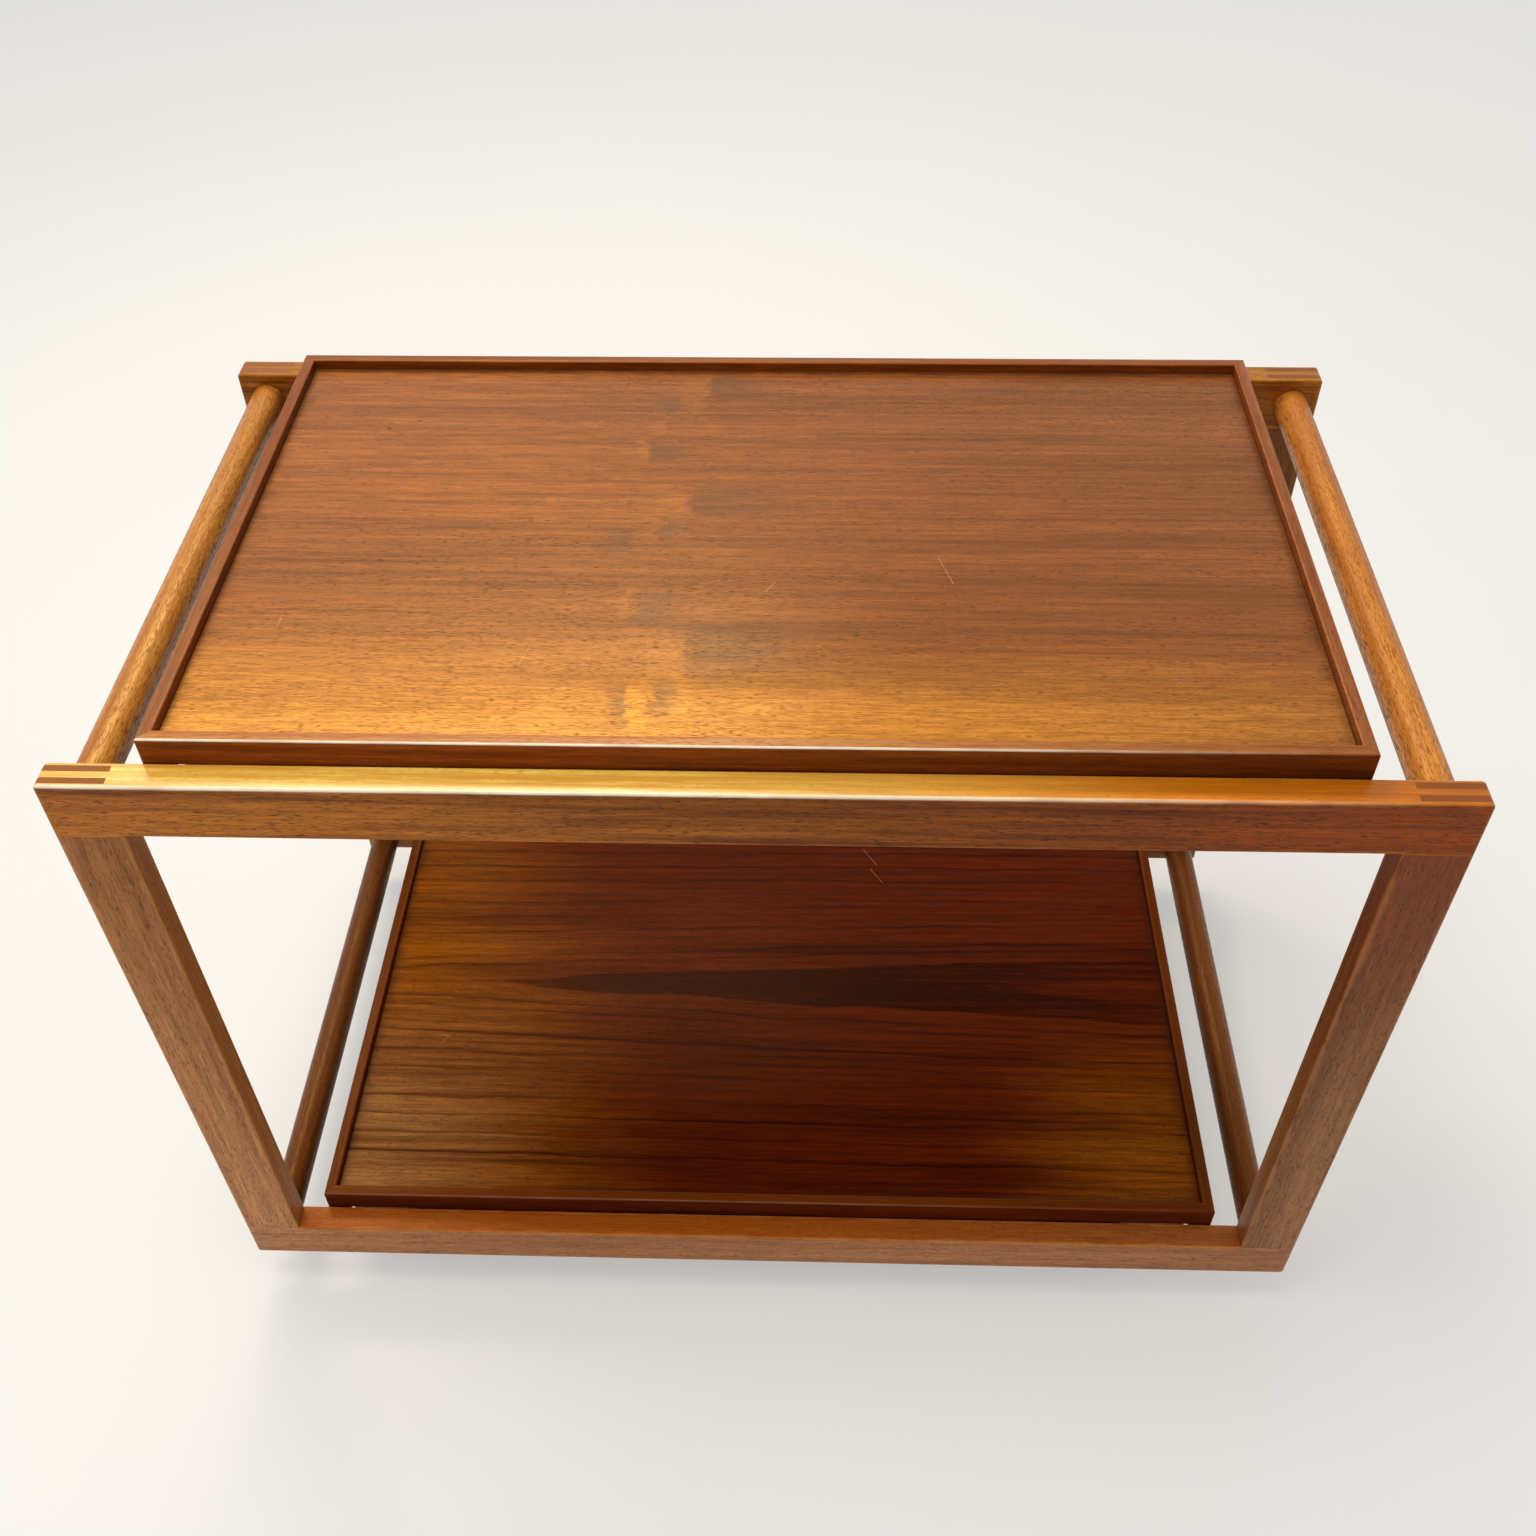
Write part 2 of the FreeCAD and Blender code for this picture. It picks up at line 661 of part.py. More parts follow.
def castor_plate(label):
    body = new_body(label)
    outline = new_sketch(body, "XY_Plane", lift=plate_foot)
    draw_rectangle(outline, 0, 0, size.plate_side, size.plate_side)
    draw_circle(outline, 0, 0, size.kingpin_radius + size.seat_gap)
    pad(body, outline, size.plate_thickness)
    ease(body, edges_where(body.Tip, lambda edge: runs_along(edge, UP_AXIS)), Radius=size.plate_corner)
    holes = new_sketch(body, "XY_Plane", lift=plate_foot)
    hole_radius = size.screw_radius + size.seat_gap
    for along, across in screw_places():
        draw_circle(holes, along, across, hole_radius)
    pocket(body, holes, size.plate_thickness, upward=True)

    def is_screw_rim(edge):
        return is_circle(edge, hole_radius) and lies_at_height(edge, plate_foot.value)

    def is_lower_rim(edge):
        outside = is_circle(edge, size.plate_corner) or isinstance(edge.Curve, Part.Line)
        return outside and lies_at_height(edge, plate_foot.value)

    ease(body, edges_where(body.Tip, is_lower_rim), Radius=size.plate_round)
    sink = size.screw_head_radius - size.screw_radius
    ease(body, edges_where(body.Tip, is_screw_rim), "Chamfer", Size=sink)
    cut_race(body)
    return body


def castor_kingpin(label):
    body = new_body(label)
    sketch = new_sketch(body, "XZ_Plane")
    head_top = crown_foot - size.kingpin_end_gap
    head_foot = head_top - size.kingpin_head_height
    draw_outline(
        sketch,
        [
            (0, head_foot),
            (size.kingpin_head_radius, head_foot),
            (size.kingpin_head_radius, head_top),
            (size.kingpin_radius, head_top),
            (size.kingpin_radius, castor_height),
            (0, castor_height),
        ],
    )
    revolve(body, sketch)

    def is_head_rim(edge):
        return is_circle(edge, size.kingpin_head_radius) and lies_at_height(edge, head_foot.value)

    ease(body, edges_where(body.Tip, is_head_rim), Radius=size.kingpin_head_round)
    return body


def castor_fork(label):
    body = new_body(label)
    crown = new_sketch(body, "XY_Plane", lift=crown_foot)
    draw_circle(crown, 0, 0, size.fork_crown_radius)
    pad(body, crown, size.fork_crown_thickness)
    legs = new_sketch(body, "XZ_Plane")
    draw_outline(
        legs,
        [
            (-size.castor_trail - size.leg_end_radius, size.wheel_radius),
            (size.leg_end_radius - size.castor_trail, size.wheel_radius),
            (size.leg_top_front, crown_top),
            (-size.leg_top_rear, crown_top),
        ],
    )
    pad(body, legs, fork_width, symmetric=True)
    ends = new_sketch(body, "XZ_Plane")
    draw_circle(ends, -size.castor_trail, size.wheel_radius, size.leg_end_radius)
    pad(body, ends, fork_width, symmetric=True)
    room = new_sketch(body, "XZ_Plane")
    reach = size.castor_trail + size.leg_end_radius + size.fork_crown_radius
    draw_outline(room, [(-reach, 0), (reach, 0), (reach, crown_foot), (-reach, crown_foot)])
    pocket(body, room, fork_room, symmetric=True)
    half_width = fork_width.value / 2

    def is_outer_edge(edge):
        box = edge.BoundBox
        on_leg = max(abs(abs(box.YMin) - half_width), abs(abs(box.YMax) - half_width))
        at_leg_side = on_leg < Part.Precision.approximation() and box.ZMin < crown_foot.value
        at_crown_rim = is_circle(edge, size.fork_crown_radius) and lies_at_height(edge, crown_top.value)
        return at_crown_rim or (at_leg_side and box.ZLength > Part.Precision.approximation())

    ease(body, edges_where(body.Tip, is_outer_edge), Radius=size.fork_round)
    holes = new_sketch(body, "XZ_Plane")
    draw_circle(holes, -size.castor_trail, size.wheel_radius, size.axle_radius + size.seat_gap)
    pocket(body, holes, fork_width + size.cut_overrun, symmetric=True)
    pin_hole = new_sketch(body, "XY_Plane", lift=crown_foot)
    draw_circle(pin_hole, 0, 0, size.kingpin_radius + size.running_gap)
    pocket(body, pin_hole, size.fork_crown_thickness, upward=True)
    cut_race(body)
    return body


def turned_piece(label, half):
    """A round piece about the wheel's axle, from one half of its half outline."""
    body = new_body(label)
    sketch = new_sketch(body, "XY_Plane")
    draw_outline(sketch, half + [(radius, -across) for radius, across in reversed(half)])
    revolve(body, sketch)
    return body


def castor_axle(label):
    inside = fork_width / 2
    outside = inside + size.axle_head_height
    half = [
        (0, outside),
        (size.axle_head_radius, outside),
        (size.axle_head_radius, inside),
        (size.axle_radius, inside),
    ]
    body = turned_piece(label, half)

    def is_outer_rim(edge):
        far_out = abs(edge.BoundBox.YMin + edge.BoundBox.YMax) / 2 > inside.value
        return is_circle(edge, size.axle_head_radius) and far_out

    ease(body, edges_where(body.Tip, is_outer_rim), Radius=size.axle_head_round)
    return body


def wheel_hub(label):
    rim = size.wheel_radius - size.tyre_thickness
    bore = size.axle_radius + size.running_gap
    half = [
        (bore, size.hub_width / 2),
        (size.boss_radius, size.hub_width / 2),
        (size.boss_radius, size.web_thickness / 2),
        (rim - size.rim_thickness, size.web_thickness / 2),
        (rim - size.rim_thickness, size.tyre_width / 2),
        (rim, size.tyre_width / 2),
    ]
    body = turned_piece(label, half)

    def is_outer_edge(edge):
        across = abs(edge.BoundBox.YMin + edge.BoundBox.YMax)
        at_turned_rim = is_circle(edge, size.boss_radius) or is_circle(edge, rim - size.rim_thickness)
        return at_turned_rim and across > (size.web_thickness + size.hub_round).value

    ease(body, edges_where(body.Tip, is_outer_edge), Radius=size.hub_round)
    return body


def wheel_tyre(label):
    seat = size.wheel_radius - size.tyre_thickness + size.tyre_seat_gap
    body = turned_piece(label, [(seat, size.tyre_width / 2), (size.wheel_radius, size.tyre_width / 2)])

    shoulders = edges_where(body.Tip, lambda edge: is_circle(edge, size.wheel_radius))
    ease(body, shoulders, Radius=size.tyre_round)
    return body


def castor_balls(label):
    """The ring of balls between the plate and the fork's crown."""
    radius = size.ball_radius.value
    reach = size.race_radius.value
    balls = []
    for number in range(BALL_COUNT):
        angle = 2 * math.pi * number / BALL_COUNT
        centre = FreeCAD.Vector(reach * math.cos(angle), reach * math.sin(angle), ball_rise.value)
        balls.append(Part.makeSphere(radius, centre))
    item = doc.addObject("Part::Feature", label)
    item.Shape = Part.makeCompound(balls)
    return item


def castor_screw():
    """One countersunk, slotted screw, pointing up, with its head at z 0."""
    shank = size.screw_radius.value
    head = size.screw_head_radius.value
    length = (size.plate_thickness + size.bearer_height - size.screw_cover).value
    tip = length - size.screw_tip_length.value
    corners = [(0, 0), (head, 0), (shank, head - shank), (shank, tip), (0, length)]
    points = [FreeCAD.Vector(x, 0, z) for x, z in corners]
    face = Part.Face(Part.makePolygon(points + points[:1]))
    screw = face.revolve(FreeCAD.Vector(), UP_AXIS, 360)
    wide = size.screw_slot_width.value
    overrun = size.cut_overrun.value
    corner = FreeCAD.Vector(-head - overrun, -wide / 2, -overrun)
    slot = Part.makeBox(2 * (head + overrun), wide, size.screw_slot_depth.value + overrun, corner)
    return screw.cut(slot)


def castor_screws():
    screw = castor_screw()
    screws = []
    for _, x, y in CASTORS:
        for along, across in screw_places():
            place_of_head = FreeCAD.Vector((x + along).value, (y + across).value, plate_foot.value)
            screws.append(screw.translated(place_of_head))
    item = doc.addObject("Part::Feature", "castor_screws")
    item.Shape = Part.makeCompound(screws)
    return keep(item, "castor_screws")


def castors():
    on_swivel_axis = {
        "plate": castor_plate,
        "kingpin": castor_kingpin,
        "balls": castor_balls,
        "fork": castor_fork,
    }
    on_axle = {"axle": castor_axle, "wheel_hub": wheel_hub, "tyre": wheel_tyre}
    for castor, x, y in CASTORS:
        for name, make in on_swivel_axis.items():
            label = f"{castor}_{name}"
            place(keep(make(label), label), x, y, 0)
        for name, make in on_axle.items():
            label = f"{castor}_{name}"
            place(keep(make(label), label), x - size.castor_trail, y, size.wheel_radius)
    castor_screws()


def check_document():
    """Stop before anything is written if a feature failed or a piece isn't a valid solid."""
    for item in doc.Objects:
        if "Invalid" in item.State or "Error" in item.State:
            raise RuntimeError(f"{item.Label} failed: {item.State}")
    for label, item in subparts.items():
        shape = item.Shape
        if shape.isNull() or not shape.isValid() or not shape.Solids:
            raise RuntimeError(f"{label} isn't a valid solid")


def write_pieces():
    os.makedirs("parts", exist_ok=True)
    for label, item in subparts.items():
        item.Shape.exportStep(f"parts/{label}.step")


side_frames()
rods_and_bearers()
trays()
castors()
doc.recompute()
check_document()
write_pieces()
print(f"{len(subparts)} pieces")
print(f"length {size.frame_length.value} depth {size.frame_depth.value}")
print(f"height {(frame_top + size.upper_tray_stand).value} ground clearance {ground_clearance.value}")
print(f"tray {tray_length.value} by {tray_depth.value} by {tray_height.value}")
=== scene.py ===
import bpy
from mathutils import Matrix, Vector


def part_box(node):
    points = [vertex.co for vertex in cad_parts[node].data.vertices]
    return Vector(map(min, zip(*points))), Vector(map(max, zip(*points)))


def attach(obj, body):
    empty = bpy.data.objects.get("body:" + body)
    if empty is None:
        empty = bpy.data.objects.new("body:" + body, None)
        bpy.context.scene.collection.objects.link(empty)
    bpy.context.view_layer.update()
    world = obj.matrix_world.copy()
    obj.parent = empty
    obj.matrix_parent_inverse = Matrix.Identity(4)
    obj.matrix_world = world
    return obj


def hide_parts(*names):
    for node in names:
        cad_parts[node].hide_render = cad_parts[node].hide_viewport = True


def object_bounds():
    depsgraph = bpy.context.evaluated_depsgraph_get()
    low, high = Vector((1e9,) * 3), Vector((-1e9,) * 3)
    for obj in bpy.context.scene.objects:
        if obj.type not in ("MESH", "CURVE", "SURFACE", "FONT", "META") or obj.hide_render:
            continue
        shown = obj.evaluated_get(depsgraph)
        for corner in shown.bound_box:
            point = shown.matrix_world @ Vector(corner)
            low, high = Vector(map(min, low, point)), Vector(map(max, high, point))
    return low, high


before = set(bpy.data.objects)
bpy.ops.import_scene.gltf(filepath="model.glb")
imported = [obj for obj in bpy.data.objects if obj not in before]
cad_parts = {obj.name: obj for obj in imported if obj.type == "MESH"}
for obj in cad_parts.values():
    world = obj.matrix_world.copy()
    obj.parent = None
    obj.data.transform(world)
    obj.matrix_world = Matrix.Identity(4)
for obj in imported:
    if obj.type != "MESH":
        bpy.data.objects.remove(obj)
cad_box = [list(corner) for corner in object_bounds()]

import itertools
import math

import bpy
from mathutils import Euler, Vector

bl_info = {
    "name": "Serving Trolley",
    "version": (1, 0, 0),
    "blender": (4, 5, 0),
    "location": "View3D > Sidebar > Trolley",
    "description": "Finishes the wood and the castors of a two-tier serving trolley and sets its stage",
    "category": "Object",
}

TIERS = ("upper", "lower")
ENDS = ("left", "right")
SIDES = ("front", "rear")
CASTORS = tuple(f"{side}_{end}_castor" for side in SIDES for end in ENDS)

# Turns that bring the grain of a piece onto the X axis of its pattern
GRAIN_TURNS = {"X": (0, 0, 0), "Y": (0, 0, -math.pi / 2), "Z": (0, math.pi / 2, 0)}
GRAIN_AXES = {"X": (1, 0, 0), "Y": (0, 1, 0), "Z": (0, 0, 1)}
# How far one step of a seed moves the noise of a piece, in metres
SEED_STEP = (3.7, 1.9, 2.3)
# First seed of each group of pieces; the pieces of a group count on from it
SEEDS = {"side_frames": 1, "rods": 11, "bearers": 17, "lips": 23, "upper_panel": 31, "lower_panel": 37}

# Dark filling of the open pores, grime and painted shade along a tray's lips, and a painted highlight on a
# front edge
PORE = (0.045, 0.016, 0.006)
GRIME_AND_SHADE = (0.05, 0.02, 0.012)
HIGHLIGHT_TINT = (1.0, 0.90, 0.70)
# Colour left in the amber painted shade, darker and redder toward a piece's far end, and how far along it
# starts
AMBER = (1.0, 0.42, 0.04)
AMBER_START_SHARE = 0.35


# Settings


def number(name, description, default, **details):
    return bpy.props.FloatProperty(name=name, description=description, default=default, **details)


def length(name, description, default):
    return number(name, description, default, subtype="DISTANCE", unit="LENGTH", min=0, precision=4)


def share(name, description, default):
    return number(name, description, default, subtype="FACTOR", min=0, max=1)


def vector(name, description, default, **details):
    return bpy.props.FloatVectorProperty(
        name=name, description=description, default=default, size=len(default), **details
    )


def colour(name, description, default):
    return vector(name, description, default, subtype="COLOR", min=0, max=1)


def location(name, description, default):
    return vector(name, description, default, subtype="TRANSLATION", unit="LENGTH")


def pointer(group, name, description):
    return bpy.props.PointerProperty(type=group, name=name, description=description)


def wood_settings(key, part, light, dark, sheen, gloss, ring_width, ring_share, streak_share, tone_share,
                  pore_share, roughness, struck=None):
    """A property group for one wood: its colours, its figure and its lacquer."""
    properties = {
        "light": colour("Light wood", f"Pale wood of the {part}", light),
        "dark": colour("Dark wood", f"Dark wood of the {part}", dark),
        "sheen": colour("Sheen", f"Colour that the wood gives to the gloss of the {part}", sheen),
        "gloss": share("Gloss", f"Strength of the gloss of the {part}", gloss),
        "ring_width": length("Ring width", f"Growth rings of the {part}", ring_width),
        "ring_share": share("Rings", f"How dark the late wood of the {part} is", ring_share),
        "streak_share": share("Streaks", f"How strong the streaks of the {part} are", streak_share),
        "tone_share": share("Tone", f"How much the tone of the {part} wanders", tone_share),
        "pore_share": share("Pores", f"How dark the open pores of the {part} are", pore_share),
        "roughness": share("Roughness", f"Roughness of the lacquer on the {part}", roughness),
    }
    # Painted light: upward faces take this lighter colour, where the light from above falls on them
    if struck:
        properties["struck"] = colour("Bleached wood", f"Daylit upward faces of the {part}", struck)
    return type(f"TROLLEY_PG_{key}", (bpy.types.PropertyGroup,), {"__annotations__": properties})


# Colours, lacquer and figure of each wood
WOODS = {
    "top_rail_wood": dict(
        part="top rails", light=(0.46, 0.145, 0.014), dark=(0.15, 0.030, 0.002),
        struck=(1.0, 0.72, 0.140), sheen=(1.0, 0.80, 0.30), gloss=0.25, roughness=0.30,
        ring_width=0.0034, ring_share=0.26, streak_share=0.62, tone_share=0.46, pore_share=0.70,
    ),
    "frame_wood": dict(
        part="stiles and bottom rails", light=(0.48, 0.190, 0.054), dark=(0.21, 0.062, 0.010),
        struck=(0.47, 0.125, 0.006), sheen=(1.0, 0.66, 0.36), gloss=0.34, roughness=0.36,
        ring_width=0.0034, ring_share=0.22, streak_share=0.36, tone_share=0.34, pore_share=0.55,
    ),
    "upper_rod_wood": dict(
        part="upper rods", light=(0.50, 0.180, 0.030), dark=(0.19, 0.052, 0.007),
        struck=(0.68, 0.31, 0.042), sheen=(1.0, 0.70, 0.30), gloss=0.45, roughness=0.32,
        ring_width=0.0040, ring_share=0.22, streak_share=0.40, tone_share=0.34, pore_share=0.90,
    ),
    "lower_rod_wood": dict(
        part="lower rods", light=(0.22, 0.066, 0.010), dark=(0.060, 0.015, 0.002),
        struck=(0.22, 0.07, 0.010), sheen=(1.0, 0.60, 0.25), gloss=0.30, roughness=0.34,
        ring_width=0.0040, ring_share=0.22, streak_share=0.40, tone_share=0.34, pore_share=0.80,
    ),
    "upper_lip_wood": dict(
        part="upper tray's lips", light=(0.22, 0.047, 0.004), dark=(0.075, 0.010, 0.0),
        struck=(0.36, 0.155, 0.060), sheen=(1.0, 0.75, 0.50), gloss=0.16, roughness=0.28,
        ring_width=0.0030, ring_share=0.24, streak_share=0.44, tone_share=0.32, pore_share=0.60,
    ),
    "lower_lip_wood": dict(
        part="lower tray's lips", light=(0.12, 0.015, 0.001), dark=(0.035, 0.002, 0.0),
        struck=(0.19, 0.050, 0.004), sheen=(0.8, 0.40, 0.12), gloss=0.16, roughness=0.32,
        ring_width=0.0030, ring_share=0.26, streak_share=0.44, tone_share=0.32, pore_share=0.60,
    ),
    "bearer_wood": dict(
        part="bearers", light=(0.40, 0.21, 0.085), dark=(0.21, 0.095, 0.034),
        struck=(0.42, 0.22, 0.09), sheen=(1.0, 0.80, 0.60), gloss=0.25, roughness=0.52,
        ring_width=0.0042, ring_share=0.30, streak_share=0.30, tone_share=0.24, pore_share=0.50,
    ),
    "upper_veneer": dict(
        part="upper tray's panel", light=(0.345, 0.103, 0.021), dark=(0.130, 0.035, 0.007),
        sheen=(1.0, 0.50, 0.10), gloss=0.42, roughness=0.28,
        ring_width=0.0052, ring_share=0.26, streak_share=0.42, tone_share=0.42, pore_share=0.85,
    ),
    "lower_veneer": dict(
        part="lower tray's panel", light=(0.165, 0.019, 0.001), dark=(0.028, 0.002, 0.0),
        sheen=(0.55, 0.22, 0.04), gloss=0.11, roughness=0.30,
        ring_width=0.0085, ring_share=0.46, streak_share=0.30, tone_share=0.32, pore_share=0.50,
    ),
}
WOOD_GROUPS = {key: wood_settings(key, **wood) for key, wood in WOODS.items()}


class WearSettings(bpy.types.PropertyGroup):
    """Rubbed edges, painted light on the upper front lip's top, extra lacquer, and grime with painted shade.
    """

    frame_edge: length("Frame edges", "Rubbed edges of rails and stiles", 0.0030)
    bearer_edge: length("Bearer edges", "Rubbed edges of the bearers", 0.002)
    lip_edge: length("Lip edges", "Rubbed edges of the lips", 0.0019)
    # Painted light on the top of the upper front lip
    front_lip_struck: colour("Bleached front lip", "Daylit top of the upper front lip", (0.48, 0.21, 0.064))
    coat_roughness: share("Coat roughness", "Roughness of the extra lacquer on the front top rail", 0.20)
    # Grime and painted shade along the lips
    grime_reach: length("Grime", "How far grime reaches from the lips onto a panel", 0.012)


class VeneerFigure(bpy.types.PropertyGroup):
    """Figure of the two tray panels, and the painted sheen at the front of each."""

    # The golden patches are figure; the golden front is a painted sheen
    glow: colour("Glow", "Golden patches and golden front of the upper panel", (0.85, 0.31, 0.02))
    smoke: colour("Smoke", "Smoky patches of the upper panel", (0.085, 0.042, 0.022))
    sapwood: colour("Sapwood", "Golden brown left end of the lower panel", (0.38, 0.105, 0.002))
    sapwood_lines: colour("Sapwood lines", "Dark lines at the lower panel's left end", (0.085, 0.017, 0.001))
    # Painted reflection: a pale sheen on the lower panel's front left corner
    haze: colour("Haze", "Dull front left corner of the lower panel", (0.58, 0.28, 0.09))
    flame_tip: location("Flame tip", "Left tip of the dark flame, along and across", (-0.194, 0.008))
    flame_notch: length("Flame notch", "From the tip of the flame to the pale notch at its right", 0.424)
    flame_depth: length("Flame depth", "How far below the face the flame's pith lies", 0.0096)
    flame_taper: share("Flame taper", "How fast the flame widens to the right", 0.05)
    scratch: colour("Scratch", "Pale wood in a scratch", (0.62, 0.38, 0.19))
    scratch_width: length("Scratch width", "Width of a scratch", 0.0006)


class MetalSettings(bpy.types.PropertyGroup):
    """Metal of the castors and of their screws."""

    zinc: colour("Zinc", "Plates and forks", (0.56, 0.56, 0.54))
    zinc_grime: colour("Zinc grime", "Dull patches on the zinc", (0.20, 0.185, 0.16))
    bright: colour("Bright steel", "Kingpins, axles and balls", (0.66, 0.66, 0.65))
    bright_grime: colour("Bright steel grime", "Dull patches on the bright steel", (0.25, 0.23, 0.20))
    brass: colour("Brass", "Screws", (0.62, 0.43, 0.17))
    brass_grime: colour("Brass grime", "Dull patches on the brass", (0.22, 0.14, 0.06))


class WheelSettings(bpy.types.PropertyGroup):
    """Hubs and tyres of the castors."""

    rim_thickness: length("Rim", "Rim of a hub, from its tyre inwards", 0.0025)
    rim_recess: length("Rim recess", "How much narrower the rim of a hub is than the hub", 0.002)
    web_thickness: length("Web", "Web of a hub, from side to side", 0.005)
    boss_radius: length("Boss radius", "Boss of a hub", 0.006)
    boss_width: length("Boss width", "Boss of a hub, from end to end", 0.016)
    bore_radius: length("Bore radius", "Bore of a hub", 0.0031)
    rib_count: bpy.props.IntProperty(name="Ribs", description="Ribs that brace a hub", default=6, min=3)
    rib_thickness: length("Rib thickness", "Each rib of a hub", 0.0014)
    rib_width: length("Rib width", "Each rib of a hub, from side to side", 0.0118)
    rib_overlap: length("Rib overlap", "How far a rib runs into the boss and into the rim", 0.0005)
    hub_bevel: length("Hub bevel", "Eased edges of a hub", 0.0004)
    tyre_thickness: length("Tyre thickness", "Tyre, from its seat to its tread", 0.00495)
    shoulder: length("Shoulder", "Rounded shoulders of a tyre", 0.003)
    groove_place: length("Groove place", "Middle of a tyre to each of its two grooves", 0.0022)
    groove_width: length("Groove width", "Each groove in a tyre's tread", 0.0008)
    groove_depth: length("Groove depth", "Each groove in a tyre's tread", 0.0005)
    hub_colour: colour("Hub", "Moulded plastic of the hubs", (0.045, 0.045, 0.047))
    tyre_colour: colour("Tyre", "Rubber of the tyres", (0.022, 0.022, 0.023))
    dust: colour("Dust", "Dust on hubs and tyres", (0.21, 0.19, 0.16))


class StageSettings(bpy.types.PropertyGroup):
    """Floor, light and camera."""

    floor: colour("Floor", "Pale floor", (0.91, 0.90, 0.875))
    floor_radius: length("Floor radius", "Reach of the floor", 9.0)
    sky: colour("Sky", "Colour of the even light", (0.96, 0.98, 1.0))
    sky_strength: number("Sky strength", "Even light from all round", 0.59)
    sky_lean: share("Sky lean", "How much brighter the even light is at the left than at the middle", 0.35)
    backdrop: colour("Backdrop", "Pale tone of the floor and of what lies past it", (0.93, 0.915, 0.885))
    backdrop_share: share("Backdrop share", "How much of its pale tone the floor shows by itself", 0.42)
    ceiling_colour: colour("Ceiling lamp colour", "Colour of the ceiling lamp", (1.0, 0.95, 0.87))
    ceiling_place: location("Ceiling lamp place", "Middle of the ceiling lamp", (-0.45, -0.22, 2.35))
    ceiling_width: length("Ceiling lamp width", "Ceiling lamp, along the trolley", 1.1)
    ceiling_depth: length("Ceiling lamp depth", "Ceiling lamp, front to rear", 0.6)
    ceiling_power: number("Ceiling lamp power", "Light from the ceiling lamp", 17.0, unit="POWER")
    rear_colour: colour("Rear lamp colour", "Warm colour of the rear lamp", (1.0, 0.85, 0.60))
    rear_place: location("Rear lamp place", "Middle of the rear lamp", (-0.62, 1.35, 2.27))
    rear_width: length("Rear lamp width", "Rear lamp, along the trolley", 1.3)
    rear_depth: length("Rear lamp depth", "Rear lamp, front to rear", 0.4)
    rear_power: number("Rear lamp power", "Light from the rear lamp", 25.0, unit="POWER")
    camera_place: location("Camera place", "Where the camera stands", (0.0318, -0.8216, 1.1926))
    camera_turn: vector(
        "Camera turn", "How the camera is turned", (0.78307, 0.01125, 0.02905),
        subtype="EULER", unit="ROTATION",
    )
    lens: number("Lens", "Focal length of the camera", 36.99, subtype="DISTANCE_CAMERA", unit="CAMERA")
    sensor: number("Sensor", "Width of its sensor", 36.0, subtype="DISTANCE_CAMERA", unit="CAMERA")


class TrolleySettings(bpy.types.PropertyGroup):
    """All the settings of the trolley's finish."""

    # The wear group holds rubbed edges, painted light on the upper front lip and grime with painted shade
    wear: pointer(WearSettings, "Wear", "Rubbed edges, bleaching and grime")
    figure: pointer(VeneerFigure, "Figure", "Figure of the panels")
    metals: pointer(MetalSettings, "Metals", "Metal of the castors")
    wheels: pointer(WheelSettings, "Wheels", "Hubs and tyres")
    stage: pointer(StageSettings, "Stage", "Floor, light and camera")


for key, group in WOOD_GROUPS.items():
    part = WOODS[key]["part"]
    TrolleySettings.__annotations__[key] = pointer(group, part.capitalize(), f"Wood of the {part}")


# Shader nodes


